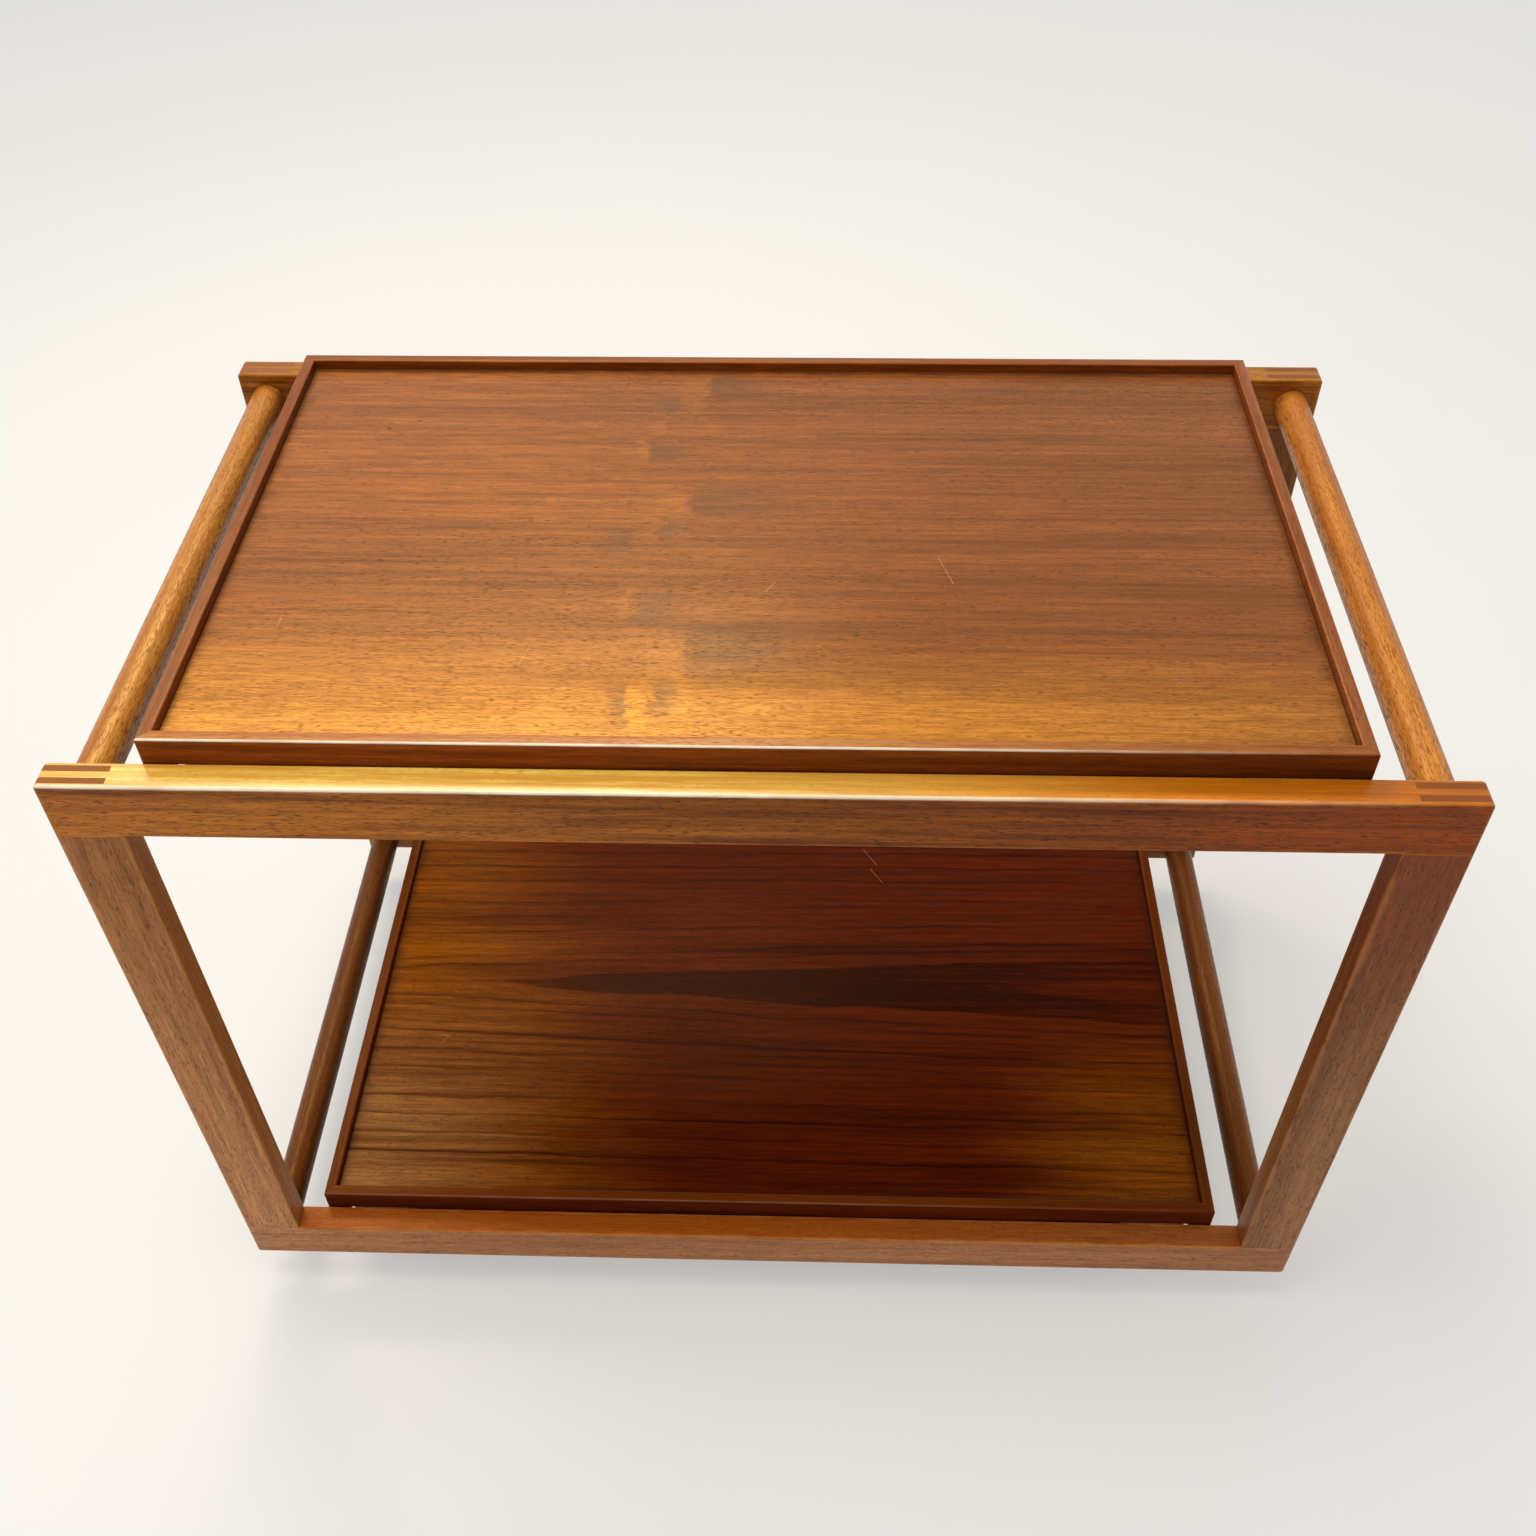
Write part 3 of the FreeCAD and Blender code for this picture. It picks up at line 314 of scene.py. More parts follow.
class Bench:
    """Adds nodes to one shader tree and wires them as they are added."""

    def __init__(self, tree):
        self.tree = tree

    def feed(self, socket, value):
        if isinstance(value, bpy.types.NodeSocket):
            self.tree.links.new(value, socket)
        elif socket.type == "RGBA":
            socket.default_value = (*value[:3], 1)
        else:
            socket.default_value = value

    def wire(self, node, **inputs):
        """Feed a node; an input's name is its socket's, with underscores for spaces."""
        for name, value in inputs.items():
            self.feed(node.inputs[name.replace("_", " ")], value)

    def add(self, kind, inputs=None, **settings):
        node = self.tree.nodes.new(kind)
        for name, value in settings.items():
            setattr(node, name, value)
        for name, value in (inputs or {}).items():
            self.feed(node.inputs[name], value)
        return node

    def use(self, name, **inputs):
        """Place a shared group."""
        tree = bpy.data.node_groups.get(name) or shared_group(name)
        node = self.add("ShaderNodeGroup", node_tree=tree)
        self.wire(node, **inputs)
        return node.outputs

    def math(self, operation, *values, clamp=False):
        node = self.add("ShaderNodeMath", operation=operation, use_clamp=clamp)
        for socket, value in zip(node.inputs, values):
            self.feed(socket, value)
        return node.outputs[0]

    def times(self, first, *others):
        for other in others:
            first = self.math("MULTIPLY", first, other)
        return first

    def line(self, value, slope, start, clamp=False):
        """A start, and a value times its slope on top."""
        return self.math("MULTIPLY_ADD", value, slope, start, clamp=clamp)

    def span(self, value, start, end, low=0, high=1):
        """Ease from low to high as a value goes from start to end."""
        inputs = {"Value": value, "From Min": start, "From Max": end, "To Min": low, "To Max": high}
        return self.add("ShaderNodeMapRange", inputs, interpolation_type="SMOOTHSTEP").outputs[0]

    def vector(self, operation, *values):
        node = self.add("ShaderNodeVectorMath", operation=operation)
        for socket, value in zip(node.inputs, values):
            self.feed(socket, value)
        gives_number = operation in ("DOT_PRODUCT", "LENGTH")
        return node.outputs["Value" if gives_number else "Vector"]

    def scale(self, vector, factor):
        node = self.add("ShaderNodeVectorMath", {"Scale": factor}, operation="SCALE")
        self.feed(node.inputs[0], vector)
        return node.outputs["Vector"]

    def split(self, vector):
        return self.add("ShaderNodeSeparateXYZ", {"Vector": vector}).outputs

    def join(self, x=0, y=0, z=0):
        return self.add("ShaderNodeCombineXYZ", {"X": x, "Y": y, "Z": z}).outputs[0]

    def insets(self, place, low, high):
        """How far a place lies from the low and from the high corner of a box."""
        return self.vector("SUBTRACT", place, low), self.vector("SUBTRACT", high, place)

    def noise(self, place, stretch, detail=2, roughness=0.5):
        """Noise whose grain is counted per metre along each axis, as a number and as a colour."""
        inputs = {"Vector": self.vector("MULTIPLY", place, stretch), "Scale": 1, "Detail": detail}
        return self.add("ShaderNodeTexNoise", {**inputs, "Roughness": roughness}).outputs

    def stray(self, place, stretch, detail=2, roughness=0.5):
        """Noise as a vector about zero."""
        return self.vector("SUBTRACT", self.noise(place, stretch, detail, roughness)[1], (0.5, 0.5, 0.5))

    def mix(self, factor, first, second, blend="MIX"):
        node = self.add("ShaderNodeMix", data_type="RGBA", blend_type=blend)
        for number, value in ((0, factor), (6, first), (7, second)):
            self.feed(node.inputs[number], value)
        return node.outputs[2]

    def shade(self, tint, value):
        """A colour made lighter or darker."""
        return self.add("ShaderNodeHueSaturation", {"Color": tint, "Value": value}).outputs[0]

    def bump(self, shader, height, strength, distance):
        inputs = {"Strength": strength, "Distance": distance, "Height": height}
        self.wire(shader, Normal=self.add("ShaderNodeBump", inputs).outputs[0])

    def blend(self, factor, first, second, output):
        """Join two shaders at the end of the tree."""
        joined = self.add("ShaderNodeMixShader", {"Fac": factor})
        self.feed(joined.inputs[1], first.outputs[0])
        self.feed(joined.inputs[2], second.outputs[0])
        self.wire(self.tree.nodes[output], Surface=joined.outputs[0])


def growth_ring_nodes(bench, given):
    """Rings about a wandering pith, as late wood; a taper draws them into a flame with a dark heart."""
    heart_edge = 0.0014
    core_edge = 0.0035
    wander = bench.scale(bench.stray(given["Noise Place"], (2.2, 5, 5)), given["Wander"])
    ripple = bench.scale(bench.stray(given["Noise Place"], (11, 34, 34), detail=3), given["Ripple"])
    moved = bench.vector("ADD", bench.vector("SUBTRACT", given["Place"], given["Pith"]), wander)
    along, across, below = bench.split(bench.vector("ADD", moved, ripple))
    near = bench.span(bench.math("ABSOLUTE", across), 0.02, 0.14, 1, 0.2)
    tapered = bench.times(along, given["Taper"], near)
    radius = bench.math("SUBTRACT", bench.vector("LENGTH", bench.join(0, across, below)), tapered)
    count = bench.math("DIVIDE", radius, given["Ring Width"])
    phase = bench.math("FRACT", count)
    ring = bench.math("FLOOR", count)
    tone = bench.add("ShaderNodeTexWhiteNoise", {"W": ring}, noise_dimensions="1D").outputs[0]
    rise = bench.span(phase, 0.45, 0.92)
    fall = bench.span(phase, 0.94, 1.0, 1, 0)
    strength = bench.line(bench.math("POWER", tone, 2.0), 0.85, 0.15)
    past_heart = bench.math("ADD", given["Heart Radius"], heart_edge)
    past_core = bench.math("ADD", given["Core Radius"], core_edge)
    inside = bench.span(radius, given["Heart Radius"], past_heart, 1, 0)
    outside_core = bench.span(radius, given["Core Radius"], past_core)
    fading = bench.span(along, 0.34, 0.62, 1, 0.45)
    return bench.times(rise, fall, strength), bench.times(inside, outside_core, fading)


def timber_nodes(bench, given):
    """Wood with its grain along X: rings, streaks, fibres and open pores under a satin lacquer."""
    place = bench.vector("ADD", given["Place"], bench.scale(SEED_STEP, given["Seed"]))
    rings = bench.use(
        "growth_rings", Place=given["Place"], Noise_Place=place, Pith=given["Pith"], Taper=given["Taper"],
        Wander=given["Wander"], Ripple=given["Ripple"], Ring_Width=given["Ring Width"],
        Heart_Radius=given["Heart Radius"], Core_Radius=given["Core Radius"],
    )
    tone = bench.math("SUBTRACT", bench.noise(place, (1.7, 30, 30), detail=3)[0], 0.5)
    streak = bench.math("SUBTRACT", bench.noise(place, (5, 190, 190), detail=4, roughness=0.6)[0], 0.5)
    fibre = bench.noise(place, (42, 700, 700))[0]
    crowd = bench.noise(place, (12, 90, 90))[0]
    pits = bench.noise(place, (210, 1800, 1800), detail=0)[0]
    threshold = bench.line(crowd, -0.22, bench.math("SUBTRACT", 0.74, given["Pore Crowd"]))
    pores = bench.span(pits, threshold, bench.math("ADD", threshold, 0.08))

    darkness = bench.line(tone, bench.times(given["Tone Share"], 4), 0.42)
    darkness = bench.line(streak, bench.times(given["Streak Share"], 4), darkness)
    darkness = bench.line(rings["Late Wood"], given["Ring Share"], darkness)
    darkness = bench.line(rings["Heart"], 0.55, darkness, clamp=True)
    wood = bench.mix(darkness, given["Light"], given["Dark"])
    pored = bench.mix(bench.times(pores, given["Pore Share"]), wood, PORE)
    fibred = bench.shade(pored, bench.line(fibre, 1.2, 0.4))
    rough = bench.line(tone, 0.35, given["Roughness"])
    return fibred, bench.line(pores, 0.18, rough), bench.line(fibre, 0.4, bench.times(pores, -1))


def board_face_nodes(bench, given):
    """Which faces of a board are end grain, and which face upward and take the painted light."""
    along = bench.math("ABSOLUTE", bench.vector("DOT_PRODUCT", given["Normal"], given["Grain"]))
    return bench.span(along, 0.6, 0.85), bench.span(bench.split(given["Normal"])[2], 0.25, 0.9)


def edge_wear_nodes(bench, given):
    """Uneven rubbing along the edges of a board that fills its box, and a painted highlight along its upper
    front edge.
    """
    low, high = bench.insets(given["Place"], given["Low Corner"], given["High Corner"])
    x, y, z = bench.split(bench.vector("MINIMUM", low, high))
    nearer = bench.math("MINIMUM", x, y)
    further = bench.math("MAXIMUM", x, y)
    edge = bench.math("MAXIMUM", nearer, bench.math("MINIMUM", further, z))
    uneven = bench.noise(given["Place"], (38, 38, 38), detail=3)[0]
    width = bench.times(given["Width"], bench.span(uneven, 0.3, 0.7, 0.35, 1.6))
    upper_front = bench.math("MAXIMUM", bench.split(low)[1], bench.split(high)[2])
    thin = bench.times(given["Width"], 0.75)
    highlight_share = bench.span(upper_front, bench.times(thin, 0.4), thin, 1, 0)
    return bench.span(edge, 0, width, 1, 0), bench.times(highlight_share, bench.span(uneven, 0.3, 0.6, 0.7, 1))


def figured_patch_nodes(bench, given):
    """A patch of figure: sharp at a fault in the grain, fading along it and soft above and below."""
    along, across, _ = bench.split(bench.vector("SUBTRACT", given["Place"], given["Fault"]))
    way = bench.math("DIVIDE", along, given["Reach"])
    aside = bench.math("ABSOLUTE", bench.math("DIVIDE", across, given["Half Height"]))
    start = bench.span(way, -0.06, 0.1)
    fade = bench.span(way, 0.1, 1.0, 1, 0)
    soft = bench.span(aside, 0.3, 1.1, 1, 0)
    return (bench.times(start, fade, soft),)


def scratch_nodes(bench, given):
    """A fine line between two points."""
    way = bench.vector("SUBTRACT", given["End"], given["Start"])
    from_start = bench.vector("SUBTRACT", given["Place"], given["Start"])
    covered = bench.vector("DOT_PRODUCT", from_start, way)
    reach = bench.math("DIVIDE", covered, bench.vector("DOT_PRODUCT", way, way), clamp=True)
    aside = bench.vector("LENGTH", bench.vector("SUBTRACT", from_start, bench.scale(way, reach)))
    uneven = bench.noise(given["Place"], (300, 300, 300))[0]
    thin = bench.times(given["Width"], bench.span(uneven, 0.3, 0.7, 0.3))
    return (bench.span(aside, 0, thin, 1, 0),)


def tray_mark_nodes(bench, given):
    """Pale specks here and there, and grime and painted shade gathered against the lips."""
    specks_per_metre = 19
    largest_speck, smallest_speck = 0.014, 0.0001
    lip_tongue = 0.002
    cells = bench.add("ShaderNodeTexVoronoi", {"Vector": given["Place"], "Scale": specks_per_metre}).outputs
    chance = bench.split(cells["Color"])[0]
    speck = bench.math("MAXIMUM", bench.times(bench.span(chance, 0.55, 1.0), largest_speck), smallest_speck)
    low, high = bench.insets(given["Place"], given["Low Corner"], given["High Corner"])
    x, y, _ = bench.split(bench.vector("MINIMUM", low, high))
    uneven = bench.noise(given["Place"], (45, 45, 45), detail=3)[0]
    reach = bench.times(given["Grime Reach"], bench.span(uneven, 0.3, 0.7, 0.5, 1.4))
    grime = bench.span(bench.math("MINIMUM", x, y), lip_tongue, reach, 1, 0)
    return bench.span(cells["Distance"], 0, speck, 1, 0), grime


def metal_skin_nodes(bench, given):
    """Fine brushing, patches of dullness and grime on metal."""
    brush = bench.noise(bench.vector("MULTIPLY", given["Place"], given["Stretch"]), (1, 1, 1), detail=3)[0]
    patch = bench.noise(given["Place"], (120, 120, 120), detail=4, roughness=0.65)[0]
    dull = bench.span(patch, 0.48, 0.72)
    bright = bench.shade(given["Metal"], bench.line(brush, 0.3, 0.85))
    dulled = bench.mix(bench.times(dull, 0.55), bright, given["Grime"])
    rough = bench.line(dull, 0.22, given["Roughness"])
    return dulled, bench.line(brush, 0.08, rough), brush


def moulded_skin_nodes(bench, given):
    """Fine moulded texture with dust on plastic or rubber."""
    fine = bench.noise(given["Place"], (2600, 2600, 2600))[0]
    cloud = bench.noise(given["Place"], (95, 95, 95), detail=4, roughness=0.65)[0]
    dusty = bench.times(bench.span(cloud, 0.42, 0.7), given["Dust Share"])
    return bench.mix(dusty, given["Base"], given["Dust"]), bench.line(dusty, 0.25, given["Roughness"]), fine


# Each shared group: its nodes, its inputs and its outputs, which are vectors, numbers or colours
SKIN = {"Color": "c", "Roughness": "f", "Height": "f"}
RINGS = {"Pith": "v", "Taper": "f", "Wander": "f", "Ripple": "f", "Ring Width": "f", "Heart Radius": "f",
         "Core Radius": "f"}
BOX = {"Place": "v", "Low Corner": "v", "High Corner": "v"}
GROUPS = {
    "growth_rings": (
        growth_ring_nodes, {"Place": "v", "Noise Place": "v", **RINGS}, {"Late Wood": "f", "Heart": "f"}
    ),
    "timber": (
        timber_nodes,
        {"Place": "v", "Seed": "f", "Light": "c", "Dark": "c", **RINGS, "Ring Share": "f",
         "Streak Share": "f", "Tone Share": "f", "Pore Share": "f", "Pore Crowd": "f", "Roughness": "f"},
        SKIN,
    ),
    "board_faces": (board_face_nodes, {"Normal": "v", "Grain": "v"}, {"End Grain": "f", "Upward": "f"}),
    "edge_wear": (edge_wear_nodes, {**BOX, "Width": "f"}, {"Wear": "f", "Front Edge": "f"}),
    "figured_patch": (
        figured_patch_nodes, {"Place": "v", "Fault": "v", "Reach": "f", "Half Height": "f"}, {"Patch": "f"}
    ),
    "scratch": (scratch_nodes, {"Place": "v", "Start": "v", "End": "v", "Width": "f"}, {"Scratch": "f"}),
    "tray_marks": (tray_mark_nodes, {**BOX, "Grime Reach": "f"}, {"Specks": "f", "Grime": "f"}),
    "metal_skin": (
        metal_skin_nodes, {"Place": "v", "Metal": "c", "Grime": "c", "Roughness": "f", "Stretch": "v"}, SKIN
    ),
    "moulded_skin": (
        moulded_skin_nodes,
        {"Place": "v", "Base": "c", "Dust": "c", "Dust Share": "f", "Roughness": "f"},
        SKIN,
    ),
}


def shared_group(name):
    """Build a shared group: its sockets, and the nodes that join them."""
    wire_up, inputs, outputs = GROUPS[name]
    tree = bpy.data.node_groups.new(name, "ShaderNodeTree")
    kinds = {"v": "NodeSocketVector", "f": "NodeSocketFloat", "c": "NodeSocketColor"}
    for direction, sockets in (("INPUT", inputs), ("OUTPUT", outputs)):
        for label, kind in sockets.items():
            tree.interface.new_socket(label, in_out=direction, socket_type=kinds[kind])
    bench = Bench(tree)
    given = tree.nodes.new("NodeGroupInput").outputs
    filled = tree.nodes.new("NodeGroupOutput").inputs
    for label, value in zip(outputs, wire_up(bench, given)):
        bench.feed(filled[label], value)
    return tree


# Materials


def new_material(name):
    """An empty material, its bench and its surface shader."""
    material = bpy.data.materials.new(name)
    material.use_nodes = True
    bench = Bench(material.node_tree)
    shader = material.node_tree.nodes["Principled BSDF"]
    return material, bench, shader


def grain_place(bench, spot, node, grain):
    """Place on a piece, measured from its middle, with the grain turned onto X."""
    low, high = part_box(node)
    turn = Euler(GRAIN_TURNS[grain])
    middle = -(turn.to_matrix() @ ((low + high) / 2))
    inputs = {"Vector": spot, "Rotation": turn, "Location": middle}
    return bench.add("ShaderNodeMapping", inputs, vector_type="POINT").outputs[0]


def timber(bench, place, wood, seed, pith, light=None, dark=None, taper=0.0, wander=0.012, ripple=0.0012,
           heart_radius=0.0, core_radius=-1.0, pore_crowd=0.0):
    return bench.use(
        "timber", Place=place, Seed=seed, Light=light or wood.light, Dark=dark or wood.dark, Pith=pith,
        Taper=taper, Wander=wander, Ripple=ripple, Ring_Width=wood.ring_width, Heart_Radius=heart_radius,
        Core_Radius=core_radius, Ring_Share=wood.ring_share, Streak_Share=wood.streak_share,
        Tone_Share=wood.tone_share, Pore_Share=wood.pore_share, Pore_Crowd=pore_crowd,
        Roughness=wood.roughness,
    )


def lacquer(bench, shader, base, grain, wood):
    """Satin lacquer over the grain, whose sheen takes the gold of the wood."""
    bench.wire(shader, Specular_IOR_Level=wood.gloss, Specular_Tint=wood.sheen)
    bench.wire(shader, Base_Color=base, Roughness=grain["Roughness"])
    bench.bump(shader, grain["Height"], strength=0.25, distance=0.0002)


def board_material(node, wood, grain_axis, seed, pith, wear_width, shade=(1.0, 1.0), amber=(0.0, 0.0),
                   bleach=(0.5, 0.5), struck=None, edge_highlight=0.0, pore_crowd=0.0, coat=0.0,
                   coat_roughness=0.0):
    """A solid piece of wood: end grain, painted light on its upward faces, rubbed edges and a painted
    highlight.

    The shade, painted light and shade on the frame and the front lip, and the amber, a painted shade that
    darkens and reddens the wood, are each given at the left or lower end of the grain and at its other end,
    and the painted light on upward faces at the left and at the right. Dark lines of the grain stay amber
    under that light.
    """
    material, bench, shader = new_material(f"{node}_wood")
    given = bench.add("ShaderNodeTexCoord").outputs
    place = grain_place(bench, given["Object"], node, grain_axis)
    grain = timber(bench, place, wood, seed, pith, pore_crowd=pore_crowd)
    faces = bench.use("board_faces", Normal=given["Normal"], Grain=GRAIN_AXES[grain_axis])
    low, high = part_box(node)
    wear = bench.use("edge_wear", Place=given["Object"], Low_Corner=low, High_Corner=high, Width=wear_width)
    axis = "XYZ".index(grain_axis)
    along = bench.split(given["Object"])
    # Shade along the grain; on the frame and the front lip it is painted light and shade
    shaded = bench.shade(grain["Color"], bench.span(along[axis], low[axis], high[axis], *shade))
    # Amber painted shade: darker and redder toward the far end of the grain
    start = low[axis] + AMBER_START_SHARE * (high[axis] - low[axis])
    amber_shade_share = bench.span(along[axis], start, high[axis], *amber)
    toned = bench.mix(amber_shade_share, shaded, AMBER, "MULTIPLY")
    # Painted light on upward faces, fading toward the right; dark grain lines there stay amber
    red = bench.split(grain["Color"])[0]
    sunlit = bench.shade(struck or wood.struck, bench.span(red, wood.dark[0], wood.light[0], 0.78, 1.0))
    lines = bench.span(red, wood.dark[0], wood.light[0], 0.6, 0)
    amber_under_light = bench.math("MAXIMUM", bench.times(amber_shade_share, 1.4), lines)
    lit_top = bench.mix(0.97, toned, bench.mix(amber_under_light, sunlit, AMBER, "MULTIPLY"))
    top_light_falloff = bench.span(along[0], low.x / 4, high.x, *bleach)
    lit_top_share = bench.times(faces["Upward"], top_light_falloff)
    upper = bench.mix(lit_top_share, toned, lit_top)
    rubbed = bench.mix(bench.times(wear["Wear"], 0.4), upper, wood.light, "SCREEN")
    # Painted highlight along the upper front edge, fading toward the right
    bright = bench.times(wear["Front Edge"], bench.span(along[0], 0, high.x, edge_highlight, 0))
    edged = bench.mix(bright, rubbed, HIGHLIGHT_TINT)
    ended = bench.mix(bench.times(faces["End Grain"], 0.85), edged, wood.dark)
    lacquer(bench, shader, ended, grain, wood)
    if coat:
        bench.wire(shader, Coat_Weight=bench.times(lit_top_share, coat), Coat_Roughness=coat_roughness)
    return material


def dress(node, material):
    """Give a piece of the frame its material."""
    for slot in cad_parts[node].material_slots:
        slot.material = material


class TrolleyOperator:
    """What the trolley's operators share."""

    bl_options = {"REGISTER", "UNDO"}


# Each member of a side frame: its grain and wood, and its shade and amber at the two ends of its grain;
# the shade is painted light and shade, lighter toward the left and the bottom, the amber a painted shade
MEMBERS = {
    "top_rail": ("X", "top_rail_wood", (1.12, 0.72), (0.1, 0.9)),
    "bottom_rail": ("X", "frame_wood", (1.05, 1.0), (0.14, 0.2)),
    "left_stile": ("Z", "frame_wood", (1.28, 1.08), (0.0, 0.05)),
    "right_stile": ("Z", "frame_wood", (0.86, 0.50), (0.0, 0.95)),
}
# Each side frame: its painted light on upward faces at the left and right, its share of the amber painted
# shade, and the strength of the painted highlight on its top edge
FRAME_LOOKS = {"front": ((1.0, 0.4), 1.0, 0.9), "rear": ((0.12, 0.12), 0.3, 0.0)}
# Places of the pith, from the middle of a piece, with the grain along X
ROD_PITH = (0, 0.02, -0.03)
BEARER_PITH = (0, 0.01, 0.05)
LIP_PITH = (0, 0.05, 0.015)
UPPER_PANEL_PITH = (0, -0.62, -0.30)
# Shade of the rods at both ends of their grain
ROD_SHADES = {"left": (0.78, 0.74), "right": (1.35, 1.35)}
# Painted light and shade of the upper front lip at the left and right, lighter at the left, and the strength
# of the painted highlight on the front edge of each front lip
FRONT_LIP_SHADE = (1.45, 0.80)
FRONT_LIP_HIGHLIGHTS = {"upper": 0.95, "lower": 0.06}


def board_pith(seed):
    """A pith outside the board, at one of several places."""
    return (0, 0.045 + 0.013 * (seed % 3), 0.012 * (seed % 5) - 0.02)


class TROLLEY_OT_side_frames(TrolleyOperator, bpy.types.Operator):
    """Finish the rails and stiles of both side frames"""

    bl_idname = "trolley.side_frames"
    bl_label = "Side frames"

    def execute(self, context):
        settings = context.scene.trolley
        boards = itertools.product(FRAME_LOOKS.items(), MEMBERS.items())
        for seed, (frame_look, board) in enumerate(boards, SEEDS["side_frames"]):
            side, (bleach, amber_shade_share, highlight_share) = frame_look
            member, (grain, wood, shade, amber) = board
            node = f"{side}_{member}"
            # Only top rails take the painted highlight and the extra lacquer
            edge = highlight_share if member == "top_rail" else 0.0
            material = board_material(
                node, getattr(settings, wood), grain, seed, board_pith(seed), settings.wear.frame_edge,
                shade, [amber_shade_share * part for part in amber], bleach, edge_highlight=edge, coat=edge,
                coat_roughness=settings.wear.coat_roughness,
            )
            dress(node, material)
        return {"FINISHED"}


class TROLLEY_OT_rods(TrolleyOperator, bpy.types.Operator):
    """Finish the four round rods"""

    bl_idname = "trolley.rods"
    bl_label = "Rods"

    def execute(self, context):
        no_wear = 0.0
        for seed, (tier, end) in enumerate(itertools.product(TIERS, ENDS), SEEDS["rods"]):
            node = f"{tier}_{end}_rod"
            wood = getattr(context.scene.trolley, f"{tier}_rod_wood")
            material = board_material(
                node, wood, "Y", seed, ROD_PITH, no_wear, ROD_SHADES[end], pore_crowd=0.05
            )
            dress(node, material)
        return {"FINISHED"}


class TROLLEY_OT_bearers(TrolleyOperator, bpy.types.Operator):
    """Finish the cross bearers under the trays"""

    bl_idname = "trolley.bearers"
    bl_label = "Bearers"

    def execute(self, context):
        settings = context.scene.trolley
        for seed, (tier, end) in enumerate(itertools.product(TIERS, ENDS), SEEDS["bearers"]):
            node = f"{tier}_{end}_bearer"
            wear_width = settings.wear.bearer_edge
            dress(node, board_material(node, settings.bearer_wood, "Y", seed, BEARER_PITH, wear_width))
        return {"FINISHED"}


class TROLLEY_OT_tray_lips(TrolleyOperator, bpy.types.Operator):
    """Finish the mitred lips of both trays"""

    bl_idname = "trolley.tray_lips"
    bl_label = "Tray lips"

    def execute(self, context):
        settings = context.scene.trolley
        lips = itertools.product(TIERS, {"front": "X", "rear": "X", "left": "Y", "right": "Y"}.items())
        for seed, (tier, (side, grain)) in enumerate(lips, SEEDS["lips"]):
            node = f"{tier}_tray_{side}_lip"
            look = {}
            # Front lips: painted light on the top fading toward the right, and a painted highlight on the
            # front edge
            if side == "front":
                look = {"bleach": (1.0, 0.5), "edge_highlight": FRONT_LIP_HIGHLIGHTS[tier]}
            if node == "upper_tray_front_lip":
                look |= {"shade": FRONT_LIP_SHADE, "struck": settings.wear.front_lip_struck}
            wood = getattr(settings, f"{tier}_lip_wood")
            dress(node, board_material(node, wood, grain, seed, LIP_PITH, settings.wear.lip_edge, **look))
        return {"FINISHED"}


# Each scratch runs from one place on the panel to another, along and across
UPPER_SCRATCHES = (
    ((0.001, -0.060), (0.007, -0.050)),
    ((0.109, -0.024), (0.117, -0.050)),
    ((-0.142, -0.130), (-0.137, -0.112)),
    ((-0.293, -0.096), (-0.292, -0.086)),
    ((-0.328, -0.151), (-0.305, -0.148)),
)
LOWER_SCRATCHES = (
    ((0.080, 0.168), (0.092, 0.149)),
    ((0.086, 0.144), (0.097, 0.127)),
    ((-0.284, -0.048), (-0.270, -0.050)),
    ((-0.277, -0.056), (-0.273, -0.050)),
)
# Each patch of figure has its fault, along and across, its reach from there and half of its height
SMOKY_PATCHES = (
    ((-0.046, 0.176), 0.060, 0.020),
    ((-0.066, 0.150), -0.026, 0.018),
    ((-0.083, 0.090), 0.050, 0.015),
    ((-0.052, 0.034), 0.090, 0.022),
    ((-0.086, -0.010), -0.026, 0.016),
    ((-0.068, 0.006), 0.026, 0.016),
    ((-0.080, -0.078), 0.060, 0.019),
    ((-0.047, -0.112), 0.110, 0.030),
    ((-0.060, -0.160), 0.022, 0.022),
    ((-0.074, -0.162), -0.018, 0.024),
)
GOLDEN_PATCHES = (
    ((-0.047, 0.156), -0.036, 0.034),
    ((-0.074, 0.136), -0.016, 0.028),
    ((-0.083, 0.094), -0.016, 0.020),
    ((-0.050, 0.020), -0.042, 0.034),
    ((-0.080, -0.070), -0.014, 0.020),
    ((-0.044, -0.126), -0.036, 0.024),
    ((-0.040, -0.164), -0.030, 0.026),
    ((-0.064, -0.166), -0.016, 0.028),
)


def panel_marks(bench, spot, base, node, scratches, settings):
    """Scratches, specks, and grime and painted shade on a tray's panel."""
    figure = settings.figure
    low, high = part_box(node)
    flat = bench.vector("MULTIPLY", spot, (1, 1, 0))
    marks = bench.use(
        "tray_marks", Place=flat, Low_Corner=(low.x, low.y, 0), High_Corner=(high.x, high.y, 0),
        Grime_Reach=settings.wear.grime_reach,
    )
    # Grime and painted shade against the lips
    result = bench.mix(bench.times(marks["Grime"], 0.55), base, GRIME_AND_SHADE)
    result = bench.mix(bench.times(marks["Specks"], 0.5), result, figure.scratch)
    for start, end in scratches:
        mark = bench.use("scratch", Place=flat, Start=(*start, 0), End=(*end, 0), Width=figure.scratch_width)
        result = bench.mix(bench.times(mark["Scratch"], 0.5), result, figure.scratch)
    return result


def figured_patches(bench, place, patches):
    """The strongest of several patches of figure at each point."""
    strongest = 0.0
    for fault, reach, half_height in patches:
        patch = bench.use(
            "figured_patch", Place=place, Fault=(*fault, 0), Reach=reach, Half_Height=half_height
        )
        strongest = bench.math("MAXIMUM", strongest, patch["Patch"])
    return strongest


